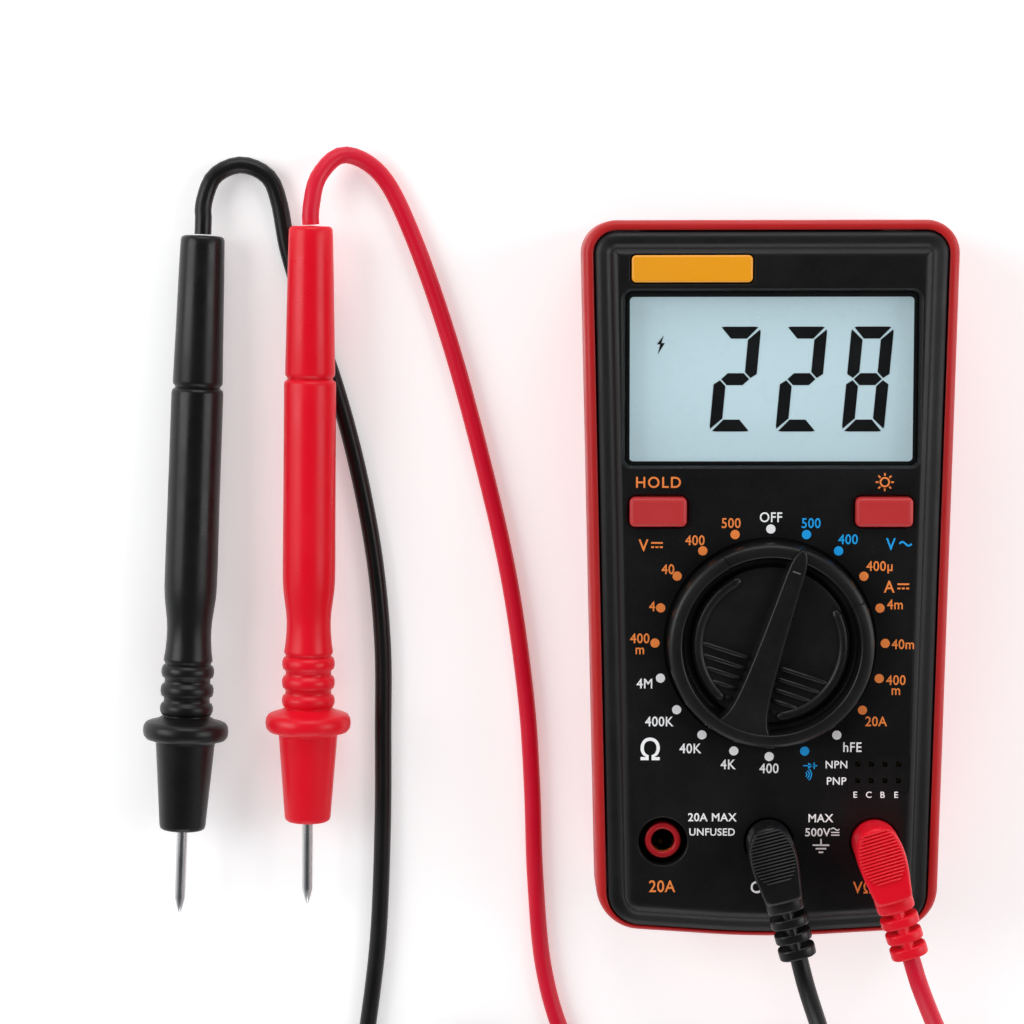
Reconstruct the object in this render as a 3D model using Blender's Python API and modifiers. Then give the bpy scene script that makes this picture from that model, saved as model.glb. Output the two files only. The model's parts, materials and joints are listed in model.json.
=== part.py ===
"""Pocket digital multimeter with two test leads, as separate named pieces.

The meter lies on its back with its face up. +Y runs towards the display end, +X to
the right of the face, +Z out of the face. The origin is under the middle of the case.
"""
import math

import bmesh
import bpy
from mathutils import Vector

MM = 0.001
GAP = 0.3                       # between pieces that touch, in millimetres

# Case, in millimetres
LENGTH = 130.0
WIDTH_TOP = 67.2                # at the display end
WIDTH_BOTTOM = 61.6             # at the jack end
BOTTOM_BOW = 1.5                # how far the jack end bulges
CORNER_TOP = 6.0
CORNER_BOTTOM = 8.0
RIM_Z = 28.35                   # top of the red wall
WALL = 1.75
FACE_Z = 31.5                   # the printed face
FACE_UNDERSIDE_Z = 29.3
SKIRT_Z = 22.5                  # lowest edge of the front shell
FLOOR = 2.2                     # thickness of the back

# Inside levels
BOARD_Z = 19.8
BOARD_THICK = 1.6
BOARD_TOP_Z = BOARD_Z + BOARD_THICK

# Display
DISPLAY_Y = 36.9
BEZEL = (53.3, 31.8)            # opening at the face
WINDOW = (51.5, 30.4)
SIGHT = (50.6, 29.7)            # opening under the window
LCD_TOP_Z = 27.0

# Range selector
DIAL_Y = -10.5
KNOB_RADIUS = 18.4
KNOB_TOP_Z = 36.6
KNOB_FLOOR_Z = 33.4
KNOB_RING = 2.7
STEM_RADIUS = 5.5
STEM_BOTTOM_Z = 24.8
POSITIONS = 20
NOTCH_CIRCLE = 17.6
NOTCH_RADIUS = 0.9
BALL_CIRCLE = 15.6
BALL_RADIUS = 1.3
BALL_Z = 26.9
SPRING_RADIUS = 1.05
SPRING_WIRE = 0.17
BRUSH_WIRE = 0.3
POINTER_ANGLE = math.radians(-18.0)

# Keys
KEY_X = 20.1
KEY_Y = 13.2
KEY_SIZE = (10.2, 5.3)
KEY_TOP_Z = 33.1
KEY_STEM_Z = 26.5
FLANGE = 1.4                    # how much wider the key is below the face

# Jacks and plugs
JACK_PITCH = 19.05
JACK_Y = -46.75
WELL_RADIUS = 4.4
COLLAR_RADIUS = 3.25
JACK_RADIUS = 2.45
BORE_RADIUS = 2.1
PIN_RADIUS = 1.85
PLUG_BASE_Z = FACE_Z + GAP
PLUG_TOP_Z = 45.6
NECK_Z = 40.8
NECK_RADIUS = 3.3
NECK_CORE = 2.2                 # between the rings of the strain relief
SHROUD_RADIUS = 4.1
PLUG_REACH = 19.2               # pin axis to the end of the strain relief
PLUG_TURN_BLACK = math.radians(14.5)
PLUG_TURN_RED = math.radians(17.0)

# Transistor socket
SOCKET = (19.6, -34.0)
SOCKET_SIZE = (11.2, 7.2)
SOCKET_PITCH = (2.45, 3.0)

# Battery, 9 V block
BATTERY = (48.5, 26.5, 17.5)
BATTERY_X = -1.75
BATTERY_Y = -22.0
BATTERY_Z = 1.8
BAY_WALL = 1.2
BAY_WALL_TOP_Z = 17.0
STUDS = ((-6.35, 3.0), (6.35, 3.6))     # offset across the battery, radius
SNAP_THICK = 4.1

# Battery door and its screw
DOOR_THICK = 1.5
DOOR_SIZE = (53.8, 37.6)
DOOR_Y = -25.8
DOOR_SCREW_Y = -41.2
DOOR_SCREW_HEAD = 0.6
DOOR_SCREW_LENGTH = 7.2

# Case screws
SCREWS = ((25.3, 58.0), (-25.3, 58.0), (23.0, -56.6), (-23.0, -56.6))
SCREW_HEAD_Z = 2.8
SCREW_HEAD = 1.9
SCREW_LENGTH = 22.0
SCREW_WAY = 1.55                # radius of the holes the screws run in

# Parts on the board
BUZZER = (-12.0, 12.0)
BUZZER_RADIUS = 10.0
FUSE = (13.0, 6.0, 15.6)
FUSE_RADIUS = 2.6
FUSE_HALF = 10.0
CLIP_HALF = 1.3
CHIP = (9.0, 30.0)
SWITCH_HALF = 3.0
SWITCH_HIGH = 3.0
SHUNT_RADIUS = 0.7

# Badge
BADGE = (-14.2, 56.4)
BADGE_SIZE = (21.4, 4.8)

# Leads
CORD_RADIUS = 1.6
COIL_RADIUS = 18.0
COIL_HALF_WIDTH = 3.3
COIL_HEIGHT = 6.5
ROUTE_SPACING = 8.5
COIL_BLACK = (-56.0, -117.0)
COIL_RED = (31.0, -121.0)
HANDLE_LENGTH = 112.0
GUARD_RADIUS = 8.05
TIP_LENGTH = 16.0
TIP_RADIUS = 1.0
TIP_HELD = 8.0                  # length of the tip inside the handle
PROBE_BLACK_REAR = Vector((-104.6, 62.2, 3.95))
PROBE_BLACK_LEAN = math.radians(2.4)
PROBE_BLACK_TILT = math.radians(2.6)
PROBE_RED_REAR = Vector((-84.0, 64.0, 7.45))
PROBE_RED_LEAN = math.radians(0.8)
PROBE_RED_TILT = math.radians(0.45)

PAINTS = {
    "case_red": ((0.52, 0.022, 0.024), 0.42, 0.0),
    "case_black": ((0.012, 0.012, 0.013), 0.48, 0.0),
    "key_red": ((0.56, 0.03, 0.035), 0.4, 0.0),
    "badge_amber": ((0.85, 0.36, 0.008), 0.4, 0.0),
    "clear_plastic": ((0.9, 0.95, 0.97), 0.08, 0.0),
    "lcd_grey": ((0.5, 0.68, 0.72), 0.2, 0.0),
    "white_plastic": ((0.8, 0.8, 0.78), 0.45, 0.0),
    "board_green": ((0.02, 0.16, 0.06), 0.4, 0.0),
    "chip_black": ((0.015, 0.015, 0.016), 0.35, 0.0),
    "fuse_glass": ((0.85, 0.88, 0.88), 0.1, 0.0),
    "trimmer_blue": ((0.03, 0.13, 0.5), 0.4, 0.0),
    "brass": ((0.72, 0.52, 0.2), 0.3, 1.0),
    "steel": ((0.62, 0.62, 0.63), 0.3, 1.0),
    "rubber_grey": ((0.06, 0.06, 0.06), 0.7, 0.0),
    "battery_wrap": ((0.05, 0.08, 0.28), 0.35, 0.0),
    "lead_red": ((0.75, 0.012, 0.03), 0.4, 0.0),
    "lead_black": ((0.012, 0.012, 0.013), 0.42, 0.0),
}


def clear_scene():
    for item in list(bpy.data.objects):
        bpy.data.objects.remove(item, do_unlink=True)


def new_collection(name):
    collection = bpy.data.collections.new(name)
    bpy.context.scene.collection.children.link(collection)
    return collection


def paint(name):
    material = bpy.data.materials.get(name)
    if material is None:
        colour, roughness, metallic = PAINTS[name]
        material = bpy.data.materials.new(name)
        material.use_nodes = True
        shader = material.node_tree.nodes["Principled BSDF"]
        shader.inputs["Base Color"].default_value = (*colour, 1.0)
        shader.inputs["Roughness"].default_value = roughness
        shader.inputs["Metallic"].default_value = metallic
    return material


def add_object(name, mesh, material=None):
    """A piece when it has a material, otherwise a cutter or a shape to be joined."""
    item = bpy.data.objects.new(name, mesh)
    if material:
        mesh.materials.append(paint(material))
        pieces.objects.link(item)
    else:
        helpers.objects.link(item)
        item.hide_render = True
        item.display_type = "WIRE"
    return item


def mesh_from(bm, name):
    mesh = bpy.data.meshes.new(name)
    bmesh.ops.recalc_face_normals(bm, faces=bm.faces)
    bm.to_mesh(mesh)
    bm.free()
    mesh.set_sharp_from_angle(angle=math.radians(35))
    return mesh


def box(name, low, high, material=None, bevel=0.0):
    """A block between two corners, with its edges rounded if asked."""
    size = [high[i] - low[i] for i in range(3)]
    middle = [(high[i] + low[i]) / 2 for i in range(3)]
    bm = bmesh.new()
    bmesh.ops.create_cube(bm, size=1.0)
    bmesh.ops.scale(bm, vec=[s * MM for s in size], verts=bm.verts)
    bmesh.ops.translate(bm, vec=[m * MM for m in middle], verts=bm.verts)
    item = add_object(name, mesh_from(bm, name), material)
    if bevel:
        round_edges(item, bevel)
    return item


def round_edges(item, width, segments=2):
    bevel = item.modifiers.new("Rounded edges", "BEVEL")
    bevel.width = width * MM
    bevel.segments = segments
    bevel.limit_method = "ANGLE"
    bevel.angle_limit = math.radians(50)
    return bevel


def cylinder(name, centre, radius, z_low, z_high, material=None, sides=24, radius_top=None):
    """An upright cylinder or cone."""
    bm = bmesh.new()
    bmesh.ops.create_cone(bm, cap_ends=True, segments=sides, radius1=radius * MM,
                          radius2=(radius if radius_top is None else radius_top) * MM,
                          depth=(z_high - z_low) * MM)
    bmesh.ops.translate(bm, verts=bm.verts,
                        vec=(centre[0] * MM, centre[1] * MM, (z_low + z_high) / 2 * MM))
    return add_object(name, mesh_from(bm, name), material)


def turned(name, profile, material=None, steps=24):
    """A profile of (radius, height), top first down the outside, swept round Z.

    The profile starts and ends on the axis, or closes on itself for a hollow piece.
    """
    closed = profile[0] == profile[-1] and profile[0][0] > 0
    points = profile[:-1] if closed else profile
    edges = [(i, i + 1) for i in range(len(points) - 1)]
    if closed:
        edges.append((len(points) - 1, 0))
    mesh = bpy.data.meshes.new(name)
    mesh.from_pydata([(r * MM, 0.0, h * MM) for r, h in points], edges, [])
    item = add_object(name, mesh, material)
    screw = item.modifiers.new("Turned", "SCREW")
    screw.steps = steps
    screw.render_steps = steps
    screw.use_merge_vertices = True
    screw.merge_threshold = 0.00001
    screw.use_smooth_shade = True
    return item


def place(item, location, rotation=(0.0, 0.0, 0.0)):
    item.location = [v * MM for v in location]
    item.rotation_euler = rotation
    return item


def cut(item, *cutters):
    for cutter in cutters:
        boolean = item.modifiers.new("Cut " + cutter.name, "BOOLEAN")
        boolean.operation = "DIFFERENCE"
        boolean.object = cutter


def join(item, *others):
    for other in others:
        boolean = item.modifiers.new("Join " + other.name, "BOOLEAN")
        boolean.operation = "UNION"
        boolean.object = other


def rounded_outline(corners, inset, arc_steps=4):
    """A convex outline with rounded corners, moved inwards by inset.

    Each corner is (x, y, radius), in order anticlockwise.
    """
    count = len(corners)
    outline = []
    for i in range(count):
        here = Vector(corners[i][:2])
        before = (here - Vector(corners[i - 1][:2])).normalized()
        after = (Vector(corners[(i + 1) % count][:2]) - here).normalized()
        turn = before.angle_signed(after) * -1.0
        inward_before = Vector((-before.y, before.x))
        inward_after = Vector((-after.y, after.x))
        radius = corners[i][2]
        reach = radius * math.tan(turn / 2)
        centre = here - before * reach + inward_before * radius
        kept = max(radius - inset, 0.4)
        if radius - inset < kept:
            middle = (inward_before + inward_after).normalized()
            centre = centre + middle * ((kept - radius + inset) / math.cos(turn / 2))
        start = math.atan2(-inward_before.y, -inward_before.x)
        for step in range(arc_steps + 1):
            angle = start + turn * step / arc_steps
            outline.append((centre.x + kept * math.cos(angle), centre.y + kept * math.sin(angle)))
    return outline


def case_outline(inset):
    """The case seen from the front: a little narrower at the jack end, which bulges."""
    top = LENGTH / 2
    side = WIDTH_TOP / 2
    low_side = WIDTH_BOTTOM / 2
    flat = top - BOTTOM_BOW
    bulge = 170.0
    corners = [
        (side, top, CORNER_TOP),
        (-side, top, CORNER_TOP),
        (-low_side, -flat, CORNER_BOTTOM),
        (0.0, -top - 0.45, bulge),
        (low_side, -flat, CORNER_BOTTOM),
    ]
    return rounded_outline(corners, inset)


def rectangle_outline(width, depth, radius, centre=(0.0, 0.0)):
    half_width = width / 2
    half_depth = depth / 2
    corners = [
        (centre[0] + half_width, centre[1] + half_depth, radius),
        (centre[0] - half_width, centre[1] + half_depth, radius),
        (centre[0] - half_width, centre[1] - half_depth, radius),
        (centre[0] + half_width, centre[1] - half_depth, radius),
    ]
    return rounded_outline(corners, 0.0, arc_steps=3)


def stack(name, layers, material=None):
    """A solid through outlines with equal point counts; each layer is (z, outline)."""
    bm = bmesh.new()
    rings = []
    for z, outline in layers:
        rings.append([bm.verts.new((x * MM, y * MM, z * MM)) for x, y in outline])
    count = len(rings[0])
    for low, high in zip(rings, rings[1:]):
        for i in range(count):
            j = (i + 1) % count
            bm.faces.new((low[i], low[j], high[j], high[i]))
    bm.faces.new(list(reversed(rings[0])))
    bm.faces.new(rings[-1])
    return add_object(name, mesh_from(bm, name), material)


def plate(name, width, depth, z_low, z_high, radius, centre=(0.0, 0.0), material=None):
    outline = rectangle_outline(width, depth, radius, centre)
    return stack(name, [(z_low, outline), (z_high, outline)], material)


def smooth_route(points, spacing):
    """Points a set distance apart on a smooth curve through hand-placed points."""
    knots = [Vector(p) for p in points]
    knots = [knots[0] * 2 - knots[1]] + knots + [knots[-1] * 2 - knots[-2]]
    dense = []
    for i in range(1, len(knots) - 2):
        a, b, c, d = knots[i - 1:i + 3]
        for step in range(20):
            t = step / 20
            dense.append(0.5 * (2 * b + (c - a) * t + (2 * a - 5 * b + 4 * c - d) * t * t
                                + (3 * b - a - 3 * c + d) * t ** 3))
    dense.append(knots[-2])
    total = sum((q - p).length for p, q in zip(dense, dense[1:]))
    count = max(2, round(total / spacing))
    route = [dense[0]]
    travelled = 0.0
    target = total / count
    for p, q in zip(dense, dense[1:]):
        step = (q - p).length
        while travelled + step >= target and len(route) < count:
            route.append(p.lerp(q, (target - travelled) / step))
            target += total / count
        travelled += step
    route.append(dense[-1])
    return route


def tube(name, points, radius, material, resolution=2):
    """A round wire along points, as a curve with filled caps."""
    curve = bpy.data.curves.new(name, "CURVE")
    curve.dimensions = "3D"
    curve.bevel_depth = radius * MM
    curve.bevel_resolution = resolution
    curve.use_fill_caps = True
    spline = curve.splines.new("POLY")
    spline.points.add(len(points) - 1)
    for target, point in zip(spline.points, points):
        target.co = (point[0] * MM, point[1] * MM, point[2] * MM, 1.0)
    curve.materials.append(paint(material))
    item = bpy.data.objects.new(name, curve)
    pieces.objects.link(item)
    return item


# ---------------------------------------------------------------- casing

def rear_case():
    skin = [(0.0, 3.2), (0.9, 1.5), (2.4, 0.6), (5.0, 0.35), (26.6, 0.0), (27.6, 0.12),
            (28.15, 0.45), (RIM_Z, 1.0)]
    item = stack("rear_case", [(z, case_outline(inset)) for z, inset in skin], "case_red")
    hollow = [(FLOOR, 4.6), (3.6, 3.0), (6.0, 2.2), (24.0, WALL), (RIM_Z + 1, WALL)]
    cut(item, stack("rear_hollow", [(z, case_outline(inset)) for z, inset in hollow]))
    for number, (x, y) in enumerate(SCREWS, 1):
        join(item, cylinder(f"rear_post_{number}", (x, y), 3.8, 1.0, BOARD_Z - 0.7, sides=12))
    bay_front = BATTERY_Y + BATTERY[1] / 2 + GAP
    bay_back = BATTERY_Y - BATTERY[1] / 2 - GAP
    for name, low in (("bay_wall_upper", bay_front), ("bay_wall_lower", bay_back - BAY_WALL)):
        join(item, box(name, (-26.0, low, 1.0), (26.0, low + BAY_WALL, BAY_WALL_TOP_Z)))
    join(item, cylinder("door_boss", (0.0, DOOR_SCREW_Y), 2.9, 1.9, 9.0, sides=12))
    inner = BUZZER_RADIUS + 0.4
    outer = inner + 1.0
    ring = turned("buzzer_ring", [(outer, 5.2), (outer, 1.0), (inner, 1.0), (inner, 5.2), (outer, 5.2)],
                  steps=16)
    join(item, place(ring, (*BUZZER, 0.0)))
    for number, (x, y) in enumerate(SCREWS, 1):
        cut(item, cylinder(f"screw_well_{number}", (x, y), 2.75, -1.0, 5.0, sides=12))
        cut(item, cylinder(f"screw_way_{number}", (x, y), SCREW_WAY, 4.0, 25.0, sides=8))
    width, depth = (side + 2 * GAP for side in DOOR_SIZE)
    cut(item, plate("door_recess", width, depth, -1.0, DOOR_THICK + GAP, 2.3, (0.0, DOOR_Y)))
    cut(item, plate("bay_opening", 51.8, 27.0, -1.0, 4.0, 1.0, (0.0, BATTERY_Y)))
    cut(item, cylinder("door_screw_way", (0.0, DOOR_SCREW_Y), SCREW_WAY, 1.0, 8.0, sides=8))
    return item


def battery_door():
    item = plate("battery_door", *DOOR_SIZE, 0.0, DOOR_THICK, 2.0, (0.0, DOOR_Y), "case_red")
    cut(item, cylinder("door_screw_seat", (0.0, DOOR_SCREW_Y), 2.6, -1.0, 0.95, sides=16))
    cut(item, cylinder("door_screw_hole", (0.0, DOOR_SCREW_Y), 1.6, 0.5, 3.0, sides=16))
    for groove in range(4):
        y = -10.5 - 1.6 * groove
        cut(item, box(f"door_grip_{groove}", (-9.0, y, -1.0), (9.0, y + 0.8, 0.5)))
    return item


def screw(name, x, y, head_z, length, head):
    """A pan-head screw, head down, with a cross recess."""
    item = turned(name, [(0.0, length), (1.15, length - 0.6), (1.15, head + 0.05), (2.3, head),
                         (2.3, head * 0.3), (1.8, 0.0), (0.0, 0.0)], "steel", steps=10)
    place(item, (x, y, head_z))
    for turn in range(2):
        slot = box(f"{name}_recess_{turn}", (-1.3, -0.28, -0.6), (1.3, 0.28, head * 0.5))
        place(slot, (x, y, head_z), (0.0, 0.0, turn * math.pi / 2))
        cut(item, slot)
    return item


def front_case():
    skin = [(SKIRT_Z, WALL + GAP), (28.3, WALL + GAP), (28.8, 2.3), (29.2, 3.2), (29.6, 5.0),
            (30.2, 5.4), (30.9, 5.75), (31.35, 6.3), (FACE_Z, 7.1)]
    item = stack("front_case", [(z, case_outline(inset)) for z, inset in skin], "case_black")
    hollow = [(SKIRT_Z - 1, 3.6), (27.0, 3.6), (28.1, 4.9), (FACE_UNDERSIDE_Z, 6.2)]
    cut(item, stack("front_hollow", [(z, case_outline(inset)) for z, inset in hollow]))
    for number, (x, y) in enumerate(SCREWS, 1):
        join(item, cylinder(f"front_post_{number}", (x, y), 2.9, BOARD_Z - 0.2, 29.6, sides=12))
        cut(item, cylinder(f"thread_way_{number}", (x, y), SCREW_WAY, BOARD_Z - 1.0, 27.0, sides=8))
    inner = NOTCH_CIRCLE - 0.3
    outer = NOTCH_CIRCLE + 1.1
    detent = turned("detent_ring", [(outer, 29.8), (outer, 25.2), (inner, 25.2), (inner, 29.8),
                                    (outer, 29.8)], steps=40)
    join(item, place(detent, (0.0, DIAL_Y, 0.0)))
    for position in range(POSITIONS):
        angle = 2 * math.pi * position / POSITIONS
        x = NOTCH_CIRCLE * math.sin(angle)
        y = DIAL_Y + NOTCH_CIRCLE * math.cos(angle)
        cut(item, cylinder(f"detent_notch_{position}", (x, y), NOTCH_RADIUS, 24.0, 28.6, sides=4))
    for number in range(3):
        at = (JACK_PITCH * (number - 1), JACK_Y)
        join(item, cylinder(f"well_wall_{number}", at, 5.6, BOARD_TOP_Z + 0.6, 30.0, sides=16))
        cut(item, cylinder(f"well_{number}", at, WELL_RADIUS, BOARD_TOP_Z + 2.2, 40.0, sides=20))
        cut(item, cylinder(f"well_floor_{number}", at, COLLAR_RADIUS + GAP,
                           BOARD_TOP_Z - 1.0, 40.0, sides=16))
    sight = rectangle_outline(*SIGHT, 0.8, (0.0, DISPLAY_Y))
    ledge = rectangle_outline(WINDOW[0] + 2 * GAP, WINDOW[1] + 2 * GAP, 1.1, (0.0, DISPLAY_Y))
    mouth = rectangle_outline(*BEZEL, 1.8, (0.0, DISPLAY_Y))
    cut(item, stack("sight_hole", [(25.0, sight), (FACE_Z + 1, sight)]))
    cut(item, stack("bezel_hole", [(29.95, ledge), (30.75, ledge), (FACE_Z, mouth), (FACE_Z + 1, mouth)]))
    cut(item, cylinder("dial_seat", (0.0, DIAL_Y), KNOB_RADIUS + 0.5, FACE_Z - 0.8, 40.0, sides=36))
    cut(item, cylinder("stem_hole", (0.0, DIAL_Y), STEM_RADIUS + 0.4, 28.0, 40.0, sides=16))
    for side in (-1, 1):
        width, depth = (length + 2 * GAP for length in KEY_SIZE)
        cut(item, plate(f"key_hole_{side + 1}", width, depth, 28.0, 40.0, 1.3, (side * KEY_X, KEY_Y)))
    width, depth = (length + 2 * GAP for length in SOCKET_SIZE)
    cut(item, plate("socket_hole", width, depth, 28.0, 40.0, 0.6, SOCKET))
    width, depth = (length + 2 * GAP for length in BADGE_SIZE)
    cut(item, plate("badge_seat", width, depth, FACE_Z - 0.7, 40.0, 0.9, BADGE))
    return item


def badge_plate():
    return plate("badge_plate", *BADGE_SIZE, FACE_Z - 0.4, FACE_Z + 0.3, 0.7, BADGE, "badge_amber")


# ---------------------------------------------------------------- display

def display():
    plate("display_window", WINDOW[0], WINDOW[1], 30.25, 31.05, 0.9, (0.0, DISPLAY_Y), "clear_plastic")
    plate("lcd_glass", 53.8, 33.0, LCD_TOP_Z - 2.4, LCD_TOP_Z, 0.3, (0.0, DISPLAY_Y), "lcd_grey")
    frame = box("lcd_frame", (-27.7, DISPLAY_Y - 17.6, BOARD_TOP_Z + GAP),
                (27.7, DISPLAY_Y + 17.6, 27.9), "chip_black")
    cut(frame, box("lcd_frame_inside", (-27.2, DISPLAY_Y - 16.8, 10.0),
                   (27.2, DISPLAY_Y + 16.8, LCD_TOP_Z + GAP)))
    cut(frame, box("lcd_frame_sight", (-26.0, DISPLAY_Y - 15.4, 10.0),
                   (26.0, DISPLAY_Y + 15.4, 40.0)))
    box("backlight_panel", (-26.8, DISPLAY_Y - 14.0, 22.0), (26.8, DISPLAY_Y + 16.4, 24.2),
        "white_plastic", bevel=0.3)
    box("zebra_strip", (-25.0, DISPLAY_Y - 16.4, BOARD_TOP_Z + GAP),
        (25.0, DISPLAY_Y - 14.6, LCD_TOP_Z - 2.7), "rubber_grey")


# ---------------------------------------------------------------- electronics

def main_board():
    outline = case_outline(3.2)
    item = stack("main_board", [(BOARD_Z, outline), (BOARD_TOP_Z, outline)], "board_green")
    for number, (x, y) in enumerate(SCREWS, 1):
        cut(item, cylinder(f"board_notch_{number}", (x, y), 3.3, 18.0, 23.0, sides=12))
    for number in range(3):
        at = (JACK_PITCH * (number - 1), JACK_Y)
        cut(item, cylinder(f"board_jack_{number}", at, JACK_RADIUS + GAP, 18.0, 23.0, sides=16))
    return item


def fuse_holder(under):
    """A glass fuse with metal caps, in two clips that hang from the board."""
    x, y, z = FUSE
    across = (0.0, math.pi / 2, 0.0)
    waist = FUSE_RADIUS - 0.3
    fuse = turned("fuse", [(0.0, FUSE_HALF), (FUSE_RADIUS, FUSE_HALF), (FUSE_RADIUS, 4.4), (waist, 4.2),
                           (waist, -4.2), (FUSE_RADIUS, -4.4), (FUSE_RADIUS, -FUSE_HALF),
                           (0.0, -FUSE_HALF)], "fuse_glass", steps=12)
    place(fuse, FUSE, across)
    for number, side in enumerate((-1, 1), 1):
        middle = x + side * 8.4
        clip = box(f"fuse_clip_{number}", (middle - CLIP_HALF, y - 3.5, z - 1.6),
                   (middle + CLIP_HALF, y + 3.5, under), "brass")
        radius = FUSE_RADIUS + GAP
        seat = turned(f"fuse_seat_{number}", [(0.0, 3.0), (radius, 3.0), (radius, -3.0), (0.0, -3.0)],
                      steps=12)
        place(seat, (middle, y, z), across)
        mouth = box(f"fuse_mouth_{number}", (middle - 3.0, y - 1.9, z - 6.0), (middle + 3.0, y + 1.9, z))
        cut(clip, seat, mouth)


def components():
    under = BOARD_Z - GAP
    place(turned("controller_chip", [(0.0, 0.0), (8.0, 0.0), (7.4, -0.9), (5.2, -1.7), (0.0, -2.1)],
                 "chip_black", steps=16), (*CHIP, under))
    trimmer = box("reference_trimmer", (-22.5, 28.0, under - 4.6), (-16.0, 34.5, under), "trimmer_blue",
                  bevel=0.3)
    cut(trimmer, box("trimmer_slot", (-21.0, 30.9, under - 6.0), (-17.5, 31.6, under - 4.0)))
    place(turned("buzzer_disc", [(0.0, 0.5), (BUZZER_RADIUS, 0.5), (BUZZER_RADIUS, 0.0), (0.0, 0.0)],
                 "brass", steps=24), (*BUZZER, FLOOR + GAP))
    fuse_holder(under)
    low = under - 4.5
    tube("shunt_wire", [(-15.6, JACK_Y, under), (-15.6, JACK_Y, low + 1.0), (-14.6, JACK_Y, low),
                        (-4.6, JACK_Y, low), (-3.6, JACK_Y, low + 1.0), (-3.6, JACK_Y, under)],
         SHUNT_RADIUS, "brass")
    for name, x in (("hold_switch", -KEY_X), ("light_switch", KEY_X)):
        base = BOARD_TOP_Z + GAP
        item = box(name, (x - SWITCH_HALF, KEY_Y - SWITCH_HALF, base),
                   (x + SWITCH_HALF, KEY_Y + SWITCH_HALF, base + SWITCH_HIGH), "chip_black")
        join(item, cylinder(f"{name}_plunger", (x, KEY_Y), 1.6, base + 2.0, base + SWITCH_HIGH + 0.6,
                            sides=16))
    transistor_socket()


def transistor_socket():
    socket = plate("transistor_socket", *SOCKET_SIZE, BOARD_TOP_Z + GAP, FACE_Z - 0.1, 0.5,
                   SOCKET, "case_black")
    half = 0.45
    for column in range(4):
        for row in range(2):
            x = SOCKET[0] + SOCKET_PITCH[0] * (column - 1.5)
            y = SOCKET[1] + SOCKET_PITCH[1] * (row - 0.5)
            cut(socket, box(f"socket_hole_{column}_{row}", (x - half, y - half, 26.0),
                            (x + half, y + half, 40.0)))


def battery():
    x0 = BATTERY_X - BATTERY[0] / 2
    x1 = x0 + BATTERY[0]
    y0 = BATTERY_Y - BATTERY[1] / 2
    y1 = BATTERY_Y + BATTERY[1] / 2
    item = box("battery_9v", (x0, y0, BATTERY_Z), (x1, y1, BATTERY_Z + BATTERY[2]), "battery_wrap",
               bevel=1.5)
    middle = BATTERY_Z + BATTERY[2] / 2
    snap_x = x1 + GAP + SNAP_THICK
    snap = box("battery_snap", (x1 + GAP, BATTERY_Y - 12.5, middle - 6.0),
               (snap_x, BATTERY_Y + 12.5, middle + 6.0), "rubber_grey", bevel=0.8)
    across = (0.0, math.pi / 2, 0.0)
    for number, (offset, radius) in enumerate(STUDS):
        at = (x1, BATTERY_Y + offset, middle)
        stud = turned(f"battery_stud_{number}", [(0.0, 2.4), (radius, 2.4), (radius, -1.0), (0.0, -1.0)],
                      steps=12)
        join(item, place(stud, at, across))
        wide = radius + GAP
        cup = turned(f"snap_cup_{number}", [(0.0, 2.8), (wide, 2.8), (wide, -1.0), (0.0, -1.0)], steps=12)
        cut(snap, place(cup, at, across))
    lead_x = snap_x + 0.9
    for colour, way in (("red", 1.0), ("black", -1.0)):
        y = BATTERY_Y + 2.0 * way
        route = smooth_route([(lead_x, y, middle), (lead_x + 0.3, y, middle + 3.0),
                              (lead_x, y + 3.0 * way, middle + 6.0), (lead_x - 1.5, y + 12.0 * way, 18.2),
                              (lead_x - 2.0, y + 15.5 * way, BOARD_Z - GAP - 0.1)], 3.0)
        tube(f"battery_wire_{colour}", route, 0.55, "lead_" + colour, resolution=1)


# ---------------------------------------------------------------- jacks

def jacks():
    for side, name, material in ((-1, "10a", "key_red"), (0, "com", "lead_black"), (1, "volt", "key_red")):
        at = (JACK_PITCH * side, JACK_Y, 0.0)
        tube_profile = [(JACK_RADIUS, 29.4), (JACK_RADIUS, 11.0), (BORE_RADIUS, 11.0), (BORE_RADIUS, 29.4),
                        (JACK_RADIUS, 29.4)]
        place(turned(f"jack_{name}", tube_profile, "brass", steps=16), at)
        inner = JACK_RADIUS + GAP
        low = BOARD_TOP_Z + GAP
        collar = [(COLLAR_RADIUS - 0.2, 30.6), (COLLAR_RADIUS, 30.4), (COLLAR_RADIUS, low), (inner, low),
                  (inner, 29.7), (BORE_RADIUS, 29.7), (BORE_RADIUS, 30.4), (BORE_RADIUS + 0.2, 30.6),
                  (COLLAR_RADIUS - 0.2, 30.6)]
        place(turned(f"jack_collar_{name}", collar, material, steps=16), at)


# ---------------------------------------------------------------- range selector

def pointer_outline(grow):
    """The raised bar across the knob: narrow and round at the pointing end, wide at the other."""
    tip = 16.9
    points = []
    for step in range(5):
        angle = math.pi * step / 4
        points.append(((1.65 + grow) * math.cos(angle), tip + (1.65 + grow) * math.sin(angle)))
    side = [(1.75, 8.0), (2.3, 0.0), (3.1, -7.0), (4.6, -13.0), (6.4, -17.0)]
    points.extend([(-x - grow, y) for x, y in side])
    points.extend([(x + grow, y) for x, y in reversed(side)])
    return points


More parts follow.
